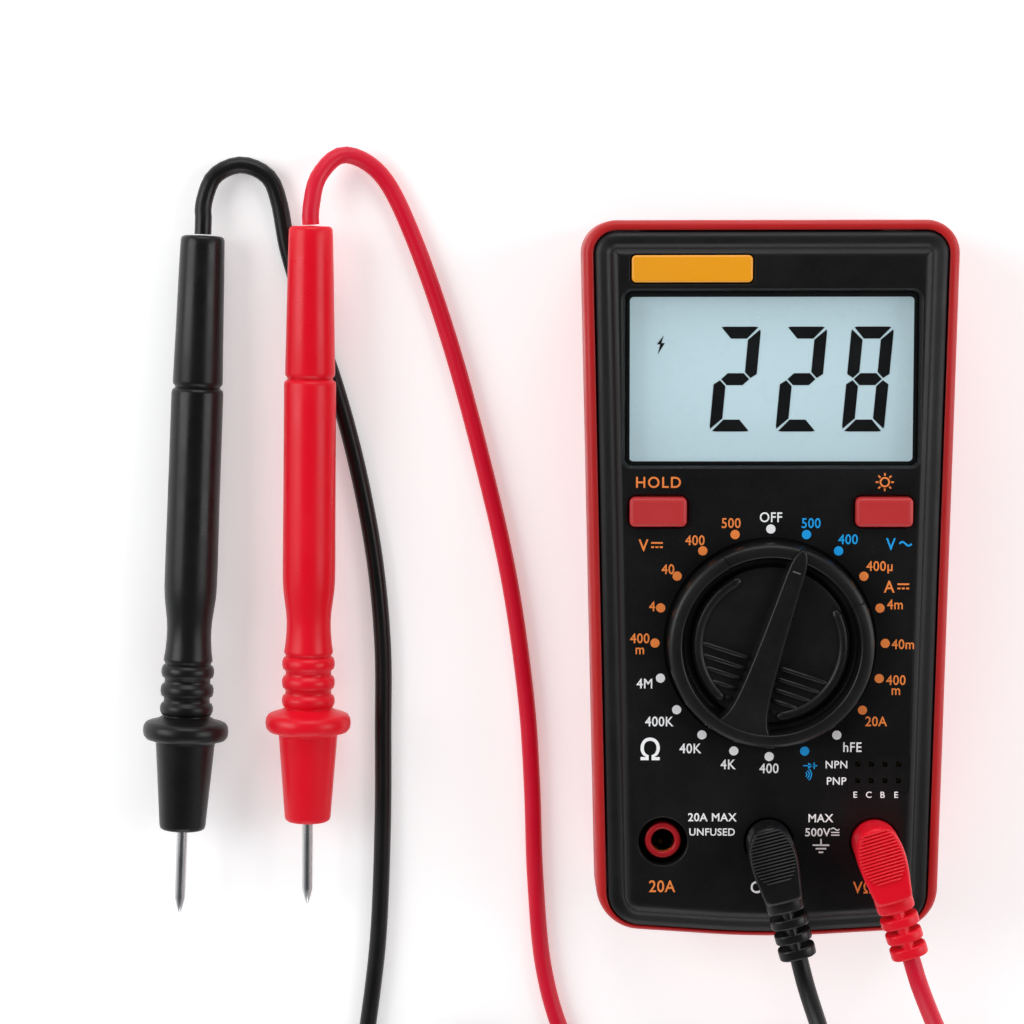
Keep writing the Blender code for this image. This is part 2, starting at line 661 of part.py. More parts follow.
def selector_knob():
    rim = KNOB_RADIUS - KNOB_RING
    body = [(0.0, KNOB_FLOOR_Z), (rim - 0.4, KNOB_FLOOR_Z), (rim, KNOB_FLOOR_Z + 0.4),
            (rim, KNOB_TOP_Z - 0.4), (rim + 0.4, KNOB_TOP_Z), (KNOB_RADIUS - 0.9, KNOB_TOP_Z),
            (KNOB_RADIUS - 0.3, KNOB_TOP_Z - 0.5), (KNOB_RADIUS, KNOB_TOP_Z - 1.4),
            (KNOB_RADIUS, FACE_Z - 0.4), (STEM_RADIUS, FACE_Z - 0.4),
            (STEM_RADIUS, STEM_BOTTOM_Z), (0.0, STEM_BOTTOM_Z)]
    item = turned("selector_knob", body, "case_black", steps=36)
    at = (0.0, DIAL_Y, 0.0)
    turn = (0.0, 0.0, POINTER_ANGLE)
    place(item, at, turn)
    bar = stack("pointer_bar", [(KNOB_FLOOR_Z - 0.5, pointer_outline(0.3)),
                                (KNOB_TOP_Z - 0.3, pointer_outline(0.0)),
                                (KNOB_TOP_Z, pointer_outline(-0.25))])
    join(item, place(bar, at, turn))
    for side in (-1, 1):
        for rib in range(5):
            y = -1.5 - 2.0 * rib
            half = math.sqrt(14.0 ** 2 - y ** 2)
            inner = 3.6 + 0.28 * rib
            low_x, high_x = sorted((side * inner, side * half))
            ridge = box(f"grip_rib_{side + 1}_{rib}", (low_x, y - 0.3, KNOB_FLOOR_Z - 0.4),
                        (high_x, y + 0.3, KNOB_FLOOR_Z + 0.6))
            join(item, place(ridge, at, turn))
    return item


def selector_inside():
    low = STEM_BOTTOM_Z + 0.1
    high = BALL_Z + 2.0
    inner = STEM_RADIUS + GAP
    profile = [(BALL_CIRCLE, high), (BALL_CIRCLE, low), (inner, low), (inner, high), (BALL_CIRCLE, high)]
    carrier = turned("contact_carrier", profile, "white_plastic", steps=24)
    place(carrier, (0.0, DIAL_Y, 0.0))
    for number, side in enumerate((-1, 1), 1):
        bore = BALL_RADIUS + GAP
        pocket = turned(f"ball_pocket_{number}", [(0.0, 4.0), (bore, 4.0), (bore, -4.0), (0.0, -4.0)],
                        steps=12)
        place(pocket, (side * 14.0, DIAL_Y, BALL_Z), (0.0, math.pi / 2, 0.0))
        cut(carrier, pocket)
        bm = bmesh.new()
        bmesh.ops.create_uvsphere(bm, u_segments=10, v_segments=6, radius=BALL_RADIUS * MM)
        ball = add_object(f"detent_ball_{number}", mesh_from(bm, f"detent_ball_{number}"), "steel")
        place(ball, (side * BALL_CIRCLE, DIAL_Y, BALL_Z))
        turns = 3
        per_turn = 8
        coil = []
        for step in range(turns * per_turn + 1):
            angle = 2 * math.pi * step / per_turn
            along = side * (10.5 + 3.4 * step / (turns * per_turn))
            coil.append((along, DIAL_Y + SPRING_RADIUS * math.cos(angle),
                         BALL_Z + SPRING_RADIUS * math.sin(angle)))
        tube(f"detent_spring_{number}", coil, SPRING_WIRE, "steel", resolution=0)
        touch_z = BOARD_TOP_Z + GAP + BRUSH_WIRE
        root_z = low - GAP - 0.35
        arch = smooth_route([(side * 9.0, DIAL_Y + 6.0, root_z), (side * 9.6, DIAL_Y + 4.5, 22.9),
                             (side * 9.8, DIAL_Y + 2.0, touch_z), (side * 9.8, DIAL_Y - 0.5, 22.9),
                             (side * 9.8, DIAL_Y - 2.0, root_z)], 1.6)
        tube(f"contact_brush_{number}", arch, BRUSH_WIRE, "brass", resolution=1)


# ---------------------------------------------------------------- keys

def key(name, side):
    at = (side * KEY_X, KEY_Y)
    top = plate(name, *KEY_SIZE, 28.5, KEY_TOP_Z, 1.0, at, "key_red")
    round_edges(top, 0.35)
    width, depth = (length + FLANGE for length in KEY_SIZE)
    join(top, plate(f"{name}_flange", width, depth, 27.6, FACE_UNDERSIDE_Z - GAP, 1.0, at))
    join(top, cylinder(f"{name}_stem", at, 1.5, KEY_STEM_Z, 28.0, sides=12))
    return top


# ---------------------------------------------------------------- leads

def head_outline(grow):
    """The plug's head from above: round over the pin, fullest in the middle, narrower at the neck."""
    half = [(3.45, 2.2), (4.15, 0.0), (4.3, -3.0), (4.05, -5.4), (3.5, -7.2), (3.3, -8.0)]
    cap = []
    for step in range(6):
        angle = math.pi * step / 5
        cap.append((3.45 * math.cos(angle), 2.2 + 2.3 * math.sin(angle)))
    points = cap + [(-x, y) for x, y in half[1:]] + [half[-1]] + list(reversed(half[1:-1]))
    scale = 1.0 + grow
    return [(x * scale, (y + 2.0) * scale - 2.0) for x, y in points]


def along_cord(name, profile, material=None, steps=14):
    """A turned piece whose profile heights run from the pin axis along the cord (local -Y)."""
    item = turned(name, profile, material, steps=steps)
    item.rotation_euler = (math.pi / 2, 0.0, 0.0)
    item.location = (0.0, 0.0, NECK_Z * MM)
    return item


def plug(colour, x, turn_angle):
    material = "lead_" + colour
    frame = bpy.data.objects.new(f"plug_frame_{colour}", None)
    helpers.objects.link(frame)
    frame.location = (x * MM, JACK_Y * MM, 0.0)
    frame.rotation_euler = (0.0, 0.0, turn_angle)
    item = stack(f"plug_{colour}", [
        (PLUG_BASE_Z, head_outline(-0.03)), (PLUG_BASE_Z + 0.5, head_outline(0.0)),
        (PLUG_TOP_Z - 1.0, head_outline(0.0)), (PLUG_TOP_Z - 0.3, head_outline(-0.05)),
        (PLUG_TOP_Z, head_outline(-0.12))], material)
    shroud = cylinder(f"shroud_{colour}", (0.0, 0.0), SHROUD_RADIUS, 24.3, 34.0, sides=20)
    edge = NECK_RADIUS - 0.1
    profile = [(0.0, PLUG_REACH), (NECK_RADIUS - 0.2, PLUG_REACH), (NECK_RADIUS, 18.9), (NECK_RADIUS, 17.5),
               (NECK_RADIUS - 0.2, 17.2), (NECK_CORE, 17.2)]
    for far, near in ((16.2, 14.4), (13.4, 11.5)):
        profile.extend([(NECK_CORE, far), (edge, far), (NECK_RADIUS, far - 0.35), (NECK_RADIUS, near + 0.3),
                        (edge, near), (NECK_CORE, near)])
    profile.extend([(NECK_CORE, 10.6), (NECK_RADIUS, 10.6), (NECK_RADIUS, 3.0), (0.0, 3.0)])
    neck = along_cord(f"neck_{colour}", profile)
    well = cylinder(f"plug_bore_{colour}", (0.0, 0.0), PIN_RADIUS + GAP, 20.0, 38.3, sides=14)
    pin = turned(f"plug_pin_{colour}", [(0.0, 38.0), (PIN_RADIUS, 38.0), (PIN_RADIUS, 15.0), (1.3, 13.8),
                                        (0.0, 13.5)], "steel", steps=14)
    for part in (item, shroud, neck, well, pin):
        part.parent = frame
    join(item, shroud, neck)
    clear = cylinder(f"shroud_clear_{colour}", (0.0, 0.0), 3.55, 20.0, PLUG_BASE_Z + 0.6, sides=20)
    clear.parent = frame
    cut(item, clear, well)
    return item


def ring_coil(name, centre, material):
    low = 0.05
    inner = COIL_RADIUS - COIL_HALF_WIDTH
    outer = COIL_RADIUS + COIL_HALF_WIDTH
    bite = 1.3
    profile = [(outer - bite, COIL_HEIGHT), (outer, COIL_HEIGHT - bite), (outer, low + bite),
               (outer - bite, low), (inner + bite, low), (inner, low + bite),
               (inner, COIL_HEIGHT - bite), (inner + bite, COIL_HEIGHT), (outer - bite, COIL_HEIGHT)]
    return place(turned(name, profile, material, steps=24), (centre[0], centre[1], 0.0))


def probe(colour, rear, lean, tilt):
    """A probe lying on its guard: local -Z runs from the cord end to the tip."""
    frame = bpy.data.objects.new(f"probe_frame_{colour}", None)
    helpers.objects.link(frame)
    frame.location = rear * MM
    frame.rotation_euler = (-math.pi / 2 - tilt, 0.0, -lean)
    cone = HANDLE_LENGTH
    guard = cone - 18.0
    outline = [(0.0, 0.0), (2.6, 0.0), (3.7, -1.5), (3.95, -27.4), (4.6, -28.8), (4.8, -58.0),
               (4.1, -71.0), (4.2, -76.0), (4.9, -80.0), (4.9, -81.6), (3.9, -82.0), (3.9, -83.0),
               (5.0, -83.4), (5.0, -85.2), (4.0, -85.6), (4.0, -86.6), (5.1, -87.0), (5.1, -88.8),
               (4.3, -89.2), (4.4, -guard + 1.4), (GUARD_RADIUS - 0.6, -guard),
               (GUARD_RADIUS, -guard - 0.6), (GUARD_RADIUS, -guard - 2.8), (5.5, -guard - 3.6),
               (4.2, -cone), (0.0, -cone)]
    handle = turned(f"probe_handle_{colour}", outline, "lead_" + colour, steps=14)
    held = TIP_HELD - cone
    wide = TIP_RADIUS + GAP
    bore = turned(f"tip_bore_{colour}", [(0.0, held + GAP), (wide, held + GAP), (wide, -cone - 2.0),
                                         (0.0, -cone - 2.0)], steps=12)
    point = -cone - TIP_LENGTH
    tip = turned(f"probe_tip_{colour}", [(0.0, held), (TIP_RADIUS, held), (TIP_RADIUS, point + 3.0),
                                         (0.25, point + 0.2), (0.0, point)], "steel", steps=12)
    for part in (handle, bore, tip):
        part.parent = frame
    cut(handle, bore)


def plug_exit(x, turn_angle):
    """Where the cord leaves the strain relief."""
    reach = PLUG_REACH + GAP
    return Vector((x + reach * math.sin(turn_angle), JACK_Y - reach * math.cos(turn_angle), NECK_Z))


def probe_entry(rear, lean, tilt):
    """Where the cord ends, just behind the probe's cord end."""
    back = Vector((math.sin(lean) * math.cos(tilt), math.cos(lean) * math.cos(tilt), -math.sin(tilt)))
    return rear + back * GAP, back


def leads():
    plug("black", 0.0, PLUG_TURN_BLACK)
    plug("red", JACK_PITCH, PLUG_TURN_RED)
    start = plug_exit(0.0, PLUG_TURN_BLACK)
    drop = [start, (6.4, -71.4, 40.4), (9.0, -79.5, 37.4), (11.6, -88.0, 30.0), (12.6, -95.5, 20.2),
            (10.8, -102.5, 10.4), (5.6, -108.0, 4.2), (-2.6, -112.2, 1.8), (-13.0, -117.2, 1.65)]
    tube("cord_black_drop", smooth_route(drop, ROUTE_SPACING), CORD_RADIUS, "lead_black")
    ring_coil("cord_black_coil", COIL_BLACK, "lead_black")
    entry, back = probe_entry(PROBE_BLACK_REAR, PROBE_BLACK_LEAN, PROBE_BLACK_TILT)
    lead_in = [(-13.4, -117.4, 1.65), (-20.5, -121.6, 1.65), (-29.0, -127.4, 1.65), (-38.4, -132.8, 1.65)]
    tube("cord_black_tail", smooth_route(lead_in, ROUTE_SPACING), CORD_RADIUS, "lead_black")
    run = [(-77.4, -106.6, 1.65), (-75.0, -92.0, 1.65), (-72.8, -72.0, 1.65), (-71.8, -50.0, 1.65),
           (-71.6, -32.0, 1.65), (-71.6, -15.0, 1.65), (-73.2, 2.5, 1.65), (-76.6, 20.5, 1.65),
           (-81.4, 36.5, 1.65), (-87.4, 51.0, 1.65), (-91.4, 60.5, 1.65), (-94.2, 68.5, 1.65),
           (-98.8, 73.6, 1.9), (-103.0, 70.6, 2.9), entry + back * 3.0, entry]
    tube("cord_black_run", smooth_route(run, ROUTE_SPACING), CORD_RADIUS, "lead_black")
    start = plug_exit(JACK_PITCH, PLUG_TURN_RED)
    drop = [start, (26.6, -71.2, 40.4), (30.0, -79.5, 37.2), (34.2, -88.0, 29.8), (38.4, -96.0, 20.0),
            (41.8, -101.4, 12.6), (45.0, -105.4, 9.2)]
    tube("cord_red_drop", smooth_route(drop, ROUTE_SPACING), CORD_RADIUS, "lead_red")
    ring_coil("cord_red_coil", COIL_RED, "lead_red")
    entry, back = probe_entry(PROBE_RED_REAR, PROBE_RED_LEAN, PROBE_RED_TILT)
    run = [(10.0, -131.6, 1.65), (1.0, -124.6, 3.0), (-10.4, -116.8, 5.25), (-21.0, -109.8, 3.6),
           (-30.4, -102.0, 1.8), (-37.0, -92.0, 1.65), (-41.0, -78.0, 1.65), (-42.6, -60.0, 1.65),
           (-43.2, -42.0, 1.65), (-44.4, -24.6, 1.65), (-47.6, -2.0, 1.65), (-52.8, 21.0, 1.65),
           (-58.8, 43.0, 1.65), (-65.4, 62.0, 1.65), (-71.2, 73.4, 1.9), (-78.0, 77.2, 3.6),
           (-82.6, 73.2, 5.8), entry + back * 3.0, entry]
    tube("cord_red_run", smooth_route(run, ROUTE_SPACING), CORD_RADIUS, "lead_red")
    probe("black", PROBE_BLACK_REAR, PROBE_BLACK_LEAN, PROBE_BLACK_TILT)
    probe("red", PROBE_RED_REAR, PROBE_RED_LEAN, PROBE_RED_TILT)


def build():
    rear_case()
    battery_door()
    screw("battery_door_screw", 0.0, DOOR_SCREW_Y, 0.05, DOOR_SCREW_LENGTH, DOOR_SCREW_HEAD)
    for number, (x, y) in enumerate(SCREWS, 1):
        screw(f"case_screw_{number}", x, y, SCREW_HEAD_Z, SCREW_LENGTH, SCREW_HEAD)
    front_case()
    badge_plate()
    display()
    main_board()
    components()
    battery()
    jacks()
    selector_knob()
    selector_inside()
    key("hold_button", -1)
    key("light_button", 1)
    leads()


clear_scene()
pieces = new_collection("multimeter")
helpers = new_collection("cutters")
build()
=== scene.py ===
"""Looks of the pocket multimeter with its two test leads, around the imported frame."""
import json
import math

import bmesh
import bpy
from mathutils import Matrix, Vector


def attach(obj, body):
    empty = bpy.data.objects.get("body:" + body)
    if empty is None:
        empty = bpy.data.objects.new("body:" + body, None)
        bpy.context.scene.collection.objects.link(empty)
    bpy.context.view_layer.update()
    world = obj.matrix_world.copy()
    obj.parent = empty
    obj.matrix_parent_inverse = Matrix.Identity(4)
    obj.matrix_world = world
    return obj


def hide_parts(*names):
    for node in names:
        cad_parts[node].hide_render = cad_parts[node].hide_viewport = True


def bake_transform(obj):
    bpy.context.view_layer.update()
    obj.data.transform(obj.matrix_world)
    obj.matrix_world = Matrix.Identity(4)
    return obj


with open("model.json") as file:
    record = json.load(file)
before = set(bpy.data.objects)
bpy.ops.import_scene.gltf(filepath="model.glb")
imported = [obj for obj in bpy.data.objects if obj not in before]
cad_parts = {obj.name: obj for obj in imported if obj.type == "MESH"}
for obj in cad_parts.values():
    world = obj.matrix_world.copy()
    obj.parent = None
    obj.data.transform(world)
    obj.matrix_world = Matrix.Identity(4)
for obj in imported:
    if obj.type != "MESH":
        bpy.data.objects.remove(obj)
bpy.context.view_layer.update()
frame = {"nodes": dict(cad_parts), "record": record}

MM = 0.001
UP = Vector((0.0, 0.0, 1.0))

# Measures shared with the CAD, in millimetres
LENGTH = 130.0
WIDTH_TOP = 67.2
WIDTH_BOTTOM = 61.6
BOTTOM_BOW = 1.5
CORNER_TOP = 6.0
CORNER_BOTTOM = 8.0
RIM_Z = 28.35
WALL = 1.75
GAP = 0.3
FLOOR = 2.2
FACE_Z = 31.5
ABOVE_Z = 40.0
SKIRT_Z = 22.5
DISPLAY_Y = 36.9
DISPLAY = (0.0, DISPLAY_Y)
BEZEL = (53.3, 31.8)
WINDOW = (51.5, 30.4)
SIGHT = (50.6, 29.7)
LCD_TOP_Z = 27.0
DIAL_Y = -10.5
DIAL = (0.0, DIAL_Y)
DOT_RING_RADIUS = 20.6
KNOB_RADIUS = 18.4
STEM_RADIUS = 5.5
POINTER_ANGLE = math.radians(-18.0)
KEY_X = 20.1
KEY_Y = 13.2
KEY_SIZE = (10.2, 5.3)
KEY_TOP_Z = 33.1
JACK_PITCH = 19.05
JACK_Y = -46.75
WELL_RADIUS = 4.4
COLLAR_RADIUS = 3.25
JACK_RADIUS = 2.45
BORE_RADIUS = 2.1
PIN_RADIUS = 1.85
PLUG_BASE_Z = 31.8
PLUG_TOP_Z = 45.6
NECK_Z = 40.8
PLUG_REACH = 19.2
PLUG_TURN = {"black": math.radians(14.5), "red": math.radians(17.0)}
PLUG_X = {"black": 0.0, "red": JACK_PITCH}
BADGE_SIZE = (21.4, 4.8)
BADGE = (-14.2, 56.4)
SOCKET = (19.6, -34.0)
SOCKET_SIZE = (11.2, 7.2)
SOCKET_PITCH = (2.45, 3.0)
DOOR_SIZE = (53.8, 37.6)
DOOR = (0.0, -25.8)
BATTERY_BAY_SIZE = (51.8, 27.0)
BATTERY_BAY = (0.0, -22.0)
SCREWS = ((25.3, 58.0), (-25.3, 58.0), (23.0, -56.6), (-23.0, -56.6))
CORD_RADIUS = 1.6
COIL_RADII = (19.6, 16.4)
COIL_LEVELS = (1.6, 4.8)
HANDLE_LENGTH = 112.0
GUARD_RADIUS = 8.05
GUARD_FROM_END = 20.4
TIP_LENGTH = 16.0
PROBES = {
    "black": (Vector((-104.6, 62.2, 3.95)), math.radians(2.4), math.radians(2.6)),
    "red": (Vector((-84.0, 64.0, 7.45)), math.radians(0.8), math.radians(0.45)),
}


# ---- materials

def add_object(name, data):
    """A new object in the scene."""
    made = bpy.data.objects.new(name, data)
    bpy.context.scene.collection.objects.link(made)
    return made


def fill(node, values):
    """Sets a node's inputs, by name or by number."""
    for socket, value in values.items():
        node.inputs[socket].default_value = value


def material(name, colour, roughness, grain, bump=0.06, tint=0.12, rough_range=0.08, speck=0.0,
             metallic=0.0, shine=None, mirror=0.5):
    """A moulded or metal surface: fine grain in the relief, and soft changes of shade and gloss.

    grain is the size of the relief in millimetres, speck the share of lighter flecks, and mirror
    the specular level.
    """
    made = bpy.data.materials.new(name)
    made.use_nodes = True
    tree = made.node_tree
    nodes = tree.nodes
    link = tree.links.new
    shader = nodes["Principled BSDF"]
    fill(shader, {"Metallic": metallic, "Specular IOR Level": mirror})
    place = nodes.new("ShaderNodeTexCoord")

    def noise(size, detail, rough=0.5):
        node = nodes.new("ShaderNodeTexNoise")
        fill(node, {"Scale": 1000.0 / size, "Detail": detail, "Roughness": rough})
        link(place.outputs["Object"], node.inputs["Vector"])
        return node.outputs["Fac"]

    def blend(factor, low, high):
        node = nodes.new("ShaderNodeMix")
        node.data_type = "RGBA"
        link(factor, node.inputs[0])
        for socket, value in ((node.inputs[6], low), (node.inputs[7], high)):
            if isinstance(value, tuple):
                socket.default_value = (*value, 1.0)
            else:
                link(value, socket)
        return node.outputs[2]

    def spread(value, low, high, out_low, out_high):
        node = nodes.new("ShaderNodeMapRange")
        fill(node, {"From Min": low, "From Max": high, "To Min": out_low, "To Max": out_high})
        link(value, node.inputs["Value"])
        return node.outputs["Result"]

    broad = noise(38.0, 3.0)
    fine = noise(grain, 2.0, 0.6)
    shade = blend(spread(broad, 0.3, 0.7, 0.0, 1.0),
                  tuple(max(v * (1.0 - tint), 0.0) for v in colour),
                  tuple(min(v * (1.0 + tint), 1.0) for v in colour))
    if speck:
        fleck = spread(noise(grain * 1.7, 1.0), 0.62, 0.72, 0.0, speck)
        shade = blend(fleck, shade, tuple(min(v * 1.6 + 0.01, 1.0) for v in colour))
    link(shade, shader.inputs["Base Color"])
    patches = noise(9.0, 4.0, 0.65)
    link(spread(patches, 0.3, 0.7, roughness - rough_range, roughness + rough_range),
         shader.inputs["Roughness"])
    relief = nodes.new("ShaderNodeBump")
    fill(relief, {"Strength": bump, "Distance": grain * 0.25 * MM})
    link(fine, relief.inputs["Height"])
    link(relief.outputs["Normal"], shader.inputs["Normal"])
    if shine is not None:
        fill(shader, {"Coat Weight": shine, "Coat Roughness": 0.18})
    return made


def backlit_with_painted_glow(name, colour, strength):
    """The liquid-crystal panel: pale and even; its glow stands for the backlight and is also painted light
    that keeps it bright under the window whatever the lamps give, a little brighter to one side.
    """
    made = material(name, colour, 0.28, 0.5, bump=0.01, tint=0.015, rough_range=0.03)
    nodes = made.node_tree.nodes
    link = made.node_tree.links.new
    shader = nodes["Principled BSDF"]
    place = nodes.new("ShaderNodeTexCoord")
    split = nodes.new("ShaderNodeSeparateXYZ")
    link(place.outputs["Object"], split.inputs["Vector"])
    # painted glow: the emission colour runs a little brighter towards -X
    slope = nodes.new("ShaderNodeMath")
    slope.operation = "MULTIPLY_ADD"
    link(split.outputs["X"], slope.inputs[0])
    fill(slope, {1: -4.0, 2: 0.5})
    ramp = nodes.new("ShaderNodeMix")
    ramp.data_type = "RGBA"
    link(slope.outputs[0], ramp.inputs[0])
    fill(ramp, {6: (*(v * 0.9 for v in colour), 1.0), 7: (*(min(v * 1.1, 1.0) for v in colour), 1.0)})
    link(ramp.outputs[2], shader.inputs["Emission Color"])
    shader.inputs["Emission Strength"].default_value = strength
    return made


def clear_sheet(name):
    """A thin clear window: nearly all light passes, and faint smears change its gloss."""
    made = bpy.data.materials.new(name)
    made.use_nodes = True
    nodes = made.node_tree.nodes
    link = made.node_tree.links.new
    shader = nodes["Principled BSDF"]
    fill(shader, {"Base Color": (0.01, 0.012, 0.012, 1.0), "Alpha": 0.1})
    place = nodes.new("ShaderNodeTexCoord")
    smear = nodes.new("ShaderNodeTexNoise")
    fill(smear, {"Scale": 90.0, "Detail": 5.0})
    link(place.outputs["Object"], smear.inputs["Vector"])
    gloss = nodes.new("ShaderNodeMapRange")
    fill(gloss, {"To Min": 0.03, "To Max": 0.12})
    link(smear.outputs["Fac"], gloss.inputs["Value"])
    link(gloss.outputs["Result"], shader.inputs["Roughness"])
    return made


BLACK_SHELL = material("black_shell", (0.0056, 0.0056, 0.006), 0.38, 0.28, bump=0.14, tint=0.1,
                       speck=0.3, mirror=0.24)
BLACK_KNOB = material("black_knob", (0.0062, 0.0062, 0.0066), 0.36, 0.24, bump=0.12, tint=0.12,
                      speck=0.25, mirror=0.3)
RED_SHELL = material("red_shell", (0.47, 0.013, 0.014), 0.4, 0.35, bump=0.12, tint=0.07, mirror=0.35)
RED_KEY = material("red_key", (0.5, 0.03, 0.032), 0.42, 0.3, bump=0.1, tint=0.06, mirror=0.35)
RED_COLLAR = material("red_collar", (0.4, 0.006, 0.012), 0.35, 0.3, bump=0.06, tint=0.08, mirror=0.3)
RED_GRIP = material("red_grip", (0.76, 0.004, 0.018), 0.34, 0.32, bump=0.1, tint=0.05, mirror=0.28)
RED_CORD = material("red_cord", (0.66, 0.006, 0.03), 0.36, 0.5, bump=0.08, tint=0.07, mirror=0.3)
BLACK_GRIP = material("black_grip", (0.006, 0.006, 0.0064), 0.32, 0.32, bump=0.12, tint=0.12, mirror=0.28)
BLACK_CORD = material("black_cord", (0.006, 0.006, 0.0064), 0.34, 0.5, bump=0.1, tint=0.12, mirror=0.28)
AMBER = material("amber_plate", (0.83, 0.33, 0.006), 0.38, 0.22, bump=0.08, tint=0.06, shine=0.3)
# the panel's emission is partly its backlight and partly painted light, standing in for light the window and
# lamps would give
PANEL = backlit_with_painted_glow("lit_panel", (0.5, 0.66, 0.72), 0.54)
SEGMENT = material("segment_black", (0.004, 0.004, 0.005), 0.35, 0.3, bump=0.02)
BORDER = material("border_black", (0.004, 0.004, 0.005), 0.3, 0.3, bump=0.03)
CLEAR = clear_sheet("clear_window")
INK_WHITE = material("ink_white", (0.95, 0.95, 0.97), 0.5, 0.16, bump=0.12, tint=0.05)
INK_ORANGE = material("ink_orange", (0.92, 0.25, 0.05), 0.5, 0.16, bump=0.12, tint=0.06)
INK_BLUE = material("ink_blue", (0.002, 0.36, 0.86), 0.5, 0.16, bump=0.12, tint=0.06)
MARK_GREY = material("mark_grey", (0.09, 0.09, 0.095), 0.4, 0.2, bump=0.1)
BRASS = material("turned_brass", (0.72, 0.5, 0.19), 0.24, 0.12, bump=0.12, tint=0.08, metallic=1.0)
STEEL = material("plated_steel", (0.6, 0.6, 0.61), 0.24, 0.14, bump=0.1, tint=0.06, metallic=1.0)
WHITE = material("white_moulding", (0.78, 0.78, 0.76), 0.45, 0.3, bump=0.1, tint=0.03)
BOARD = material("solder_mask", (0.015, 0.13, 0.045), 0.38, 0.8, bump=0.2, tint=0.25, speck=0.2)
RESIN = material("black_resin", (0.012, 0.012, 0.013), 0.3, 0.5, bump=0.2, tint=0.2)
GLASS_TUBE = material("fuse_tube", (0.7, 0.75, 0.75), 0.12, 0.5, bump=0.03, tint=0.03)
BLUE = material("blue_moulding", (0.03, 0.12, 0.45), 0.4, 0.3, bump=0.1)
SOFT_GREY = material("soft_grey", (0.06, 0.06, 0.06), 0.7, 0.3, bump=0.2)
WRAP = material("printed_can", (0.04, 0.06, 0.22), 0.3, 0.5, bump=0.1, metallic=0.6)
TIE = material("tie_black", (0.014, 0.014, 0.015), 0.45, 0.3, bump=0.15)
STAGE = material("pale_floor", (0.92, 0.92, 0.925), 0.6, 3.0, bump=0.01, tint=0.008, rough_range=0.03)
fill(STAGE.node_tree.nodes["Principled BSDF"],
     {"Emission Color": (1.0, 1.0, 1.0, 1.0), "Emission Strength": 0.3})

BY_SLOT = {
    "case_red": RED_SHELL, "case_black": BLACK_SHELL, "key_red": RED_KEY, "badge_amber": AMBER,
    "clear_plastic": CLEAR, "lcd_grey": PANEL, "white_plastic": WHITE, "board_green": BOARD,
    "chip_black": RESIN, "fuse_glass": GLASS_TUBE, "trimmer_blue": BLUE, "brass": BRASS, "steel": STEEL,
    "rubber_grey": SOFT_GREY, "battery_wrap": WRAP, "lead_red": RED_CORD, "lead_black": BLACK_CORD,
}
slot_of = {part["node"]: part["material_slot"] for part in frame["record"]["subparts"]}
for node_name, node in frame["nodes"].items():
    finish = BY_SLOT[slot_of[node_name]]
    if node.material_slots:
        for holder in node.material_slots:
            holder.material = finish
    else:
        node.data.materials.append(finish)


# ---- shapes

def lathe(profile, steps=64, angles=None, warp=None):
    """A profile of (radius, height) swept round Z; it ends on the axis or closes on itself."""
    angles = angles or [2 * math.pi * i / steps for i in range(steps)]
    closed = profile[0] == profile[-1] and profile[0][0] > 0
    points = profile[:-1] if closed else profile
    verts = []
    rows = []
    for radius, height in points:
        if radius < 1e-6:
            rows.append([len(verts)] * len(angles))
            verts.append(Vector((0.0, 0.0, height)))
            continue
        rows.append(list(range(len(verts), len(verts) + len(angles))))
        for angle in angles:
            at = Vector((radius * math.sin(angle), radius * math.cos(angle), height))
            verts.append(warp(at, radius, angle) if warp else at)
    pairs = list(zip(rows, rows[1:])) + ([(rows[-1], rows[0])] if closed else [])
    faces = []
    count = len(angles)
    for upper, lower in pairs:
        for i in range(count):
            j = (i + 1) % count
            ring = [upper[i], upper[j], lower[j], lower[i]]
            face = [v for k, v in enumerate(ring) if v != ring[k - 1]]
            if len(face) > 2:
                faces.append(face)
    return verts, faces


def layers(rings, closed=False):
    """A skin through outlines of equal count; rings are lists of 3-D points, capped at both ends."""
    verts = [Vector(p) for ring in rings for p in ring]
    count = len(rings[0])
    faces = []
    for k in range(len(rings) - 1):
        for i in range(count):
            j = (i + 1) % count
            faces.append([k * count + i, k * count + j, (k + 1) * count + j, (k + 1) * count + i])
    last = (len(rings) - 1) * count
    if closed:
        for i in range(count):
            j = (i + 1) % count
            faces.append([last + i, last + j, j, i])
    else:
        faces.append(list(range(count))[::-1])
        faces.append(list(range(last, last + count)))
    return verts, faces


def stack(levels):
    """Layers from (z, outline) pairs."""
    return layers([[(x, y, z) for x, y in outline] for z, outline in levels])


def slab(outline, low, high):
    """An outline carried straight up from low to high."""
    return stack([(low, outline), (high, outline)])


def rounded_outline(corners, inset, arc_steps=12):
    """A convex outline with rounded corners, moved inwards by inset; corners are (x, y, radius)."""
    count = len(corners)
    outline = []
    for i in range(count):
        here = Vector(corners[i][:2])
        before = (here - Vector(corners[i - 1][:2])).normalized()
        after = (Vector(corners[(i + 1) % count][:2]) - here).normalized()
        turn = before.angle_signed(after) * -1.0
        inward_before = Vector((-before.y, before.x))
        inward_after = Vector((-after.y, after.x))
        radius = corners[i][2]
        centre = here - before * (radius * math.tan(turn / 2)) + inward_before * radius
        kept = max(radius - inset, 0.4)
        if radius - inset < kept:
            middle = (inward_before + inward_after).normalized()
            centre = centre + middle * ((kept - radius + inset) / math.cos(turn / 2))
        start = math.atan2(-inward_before.y, -inward_before.x)
        for step in range(arc_steps + 1):
            angle = start + turn * step / arc_steps
            outline.append((centre.x + kept * math.cos(angle), centre.y + kept * math.sin(angle)))
    return outline


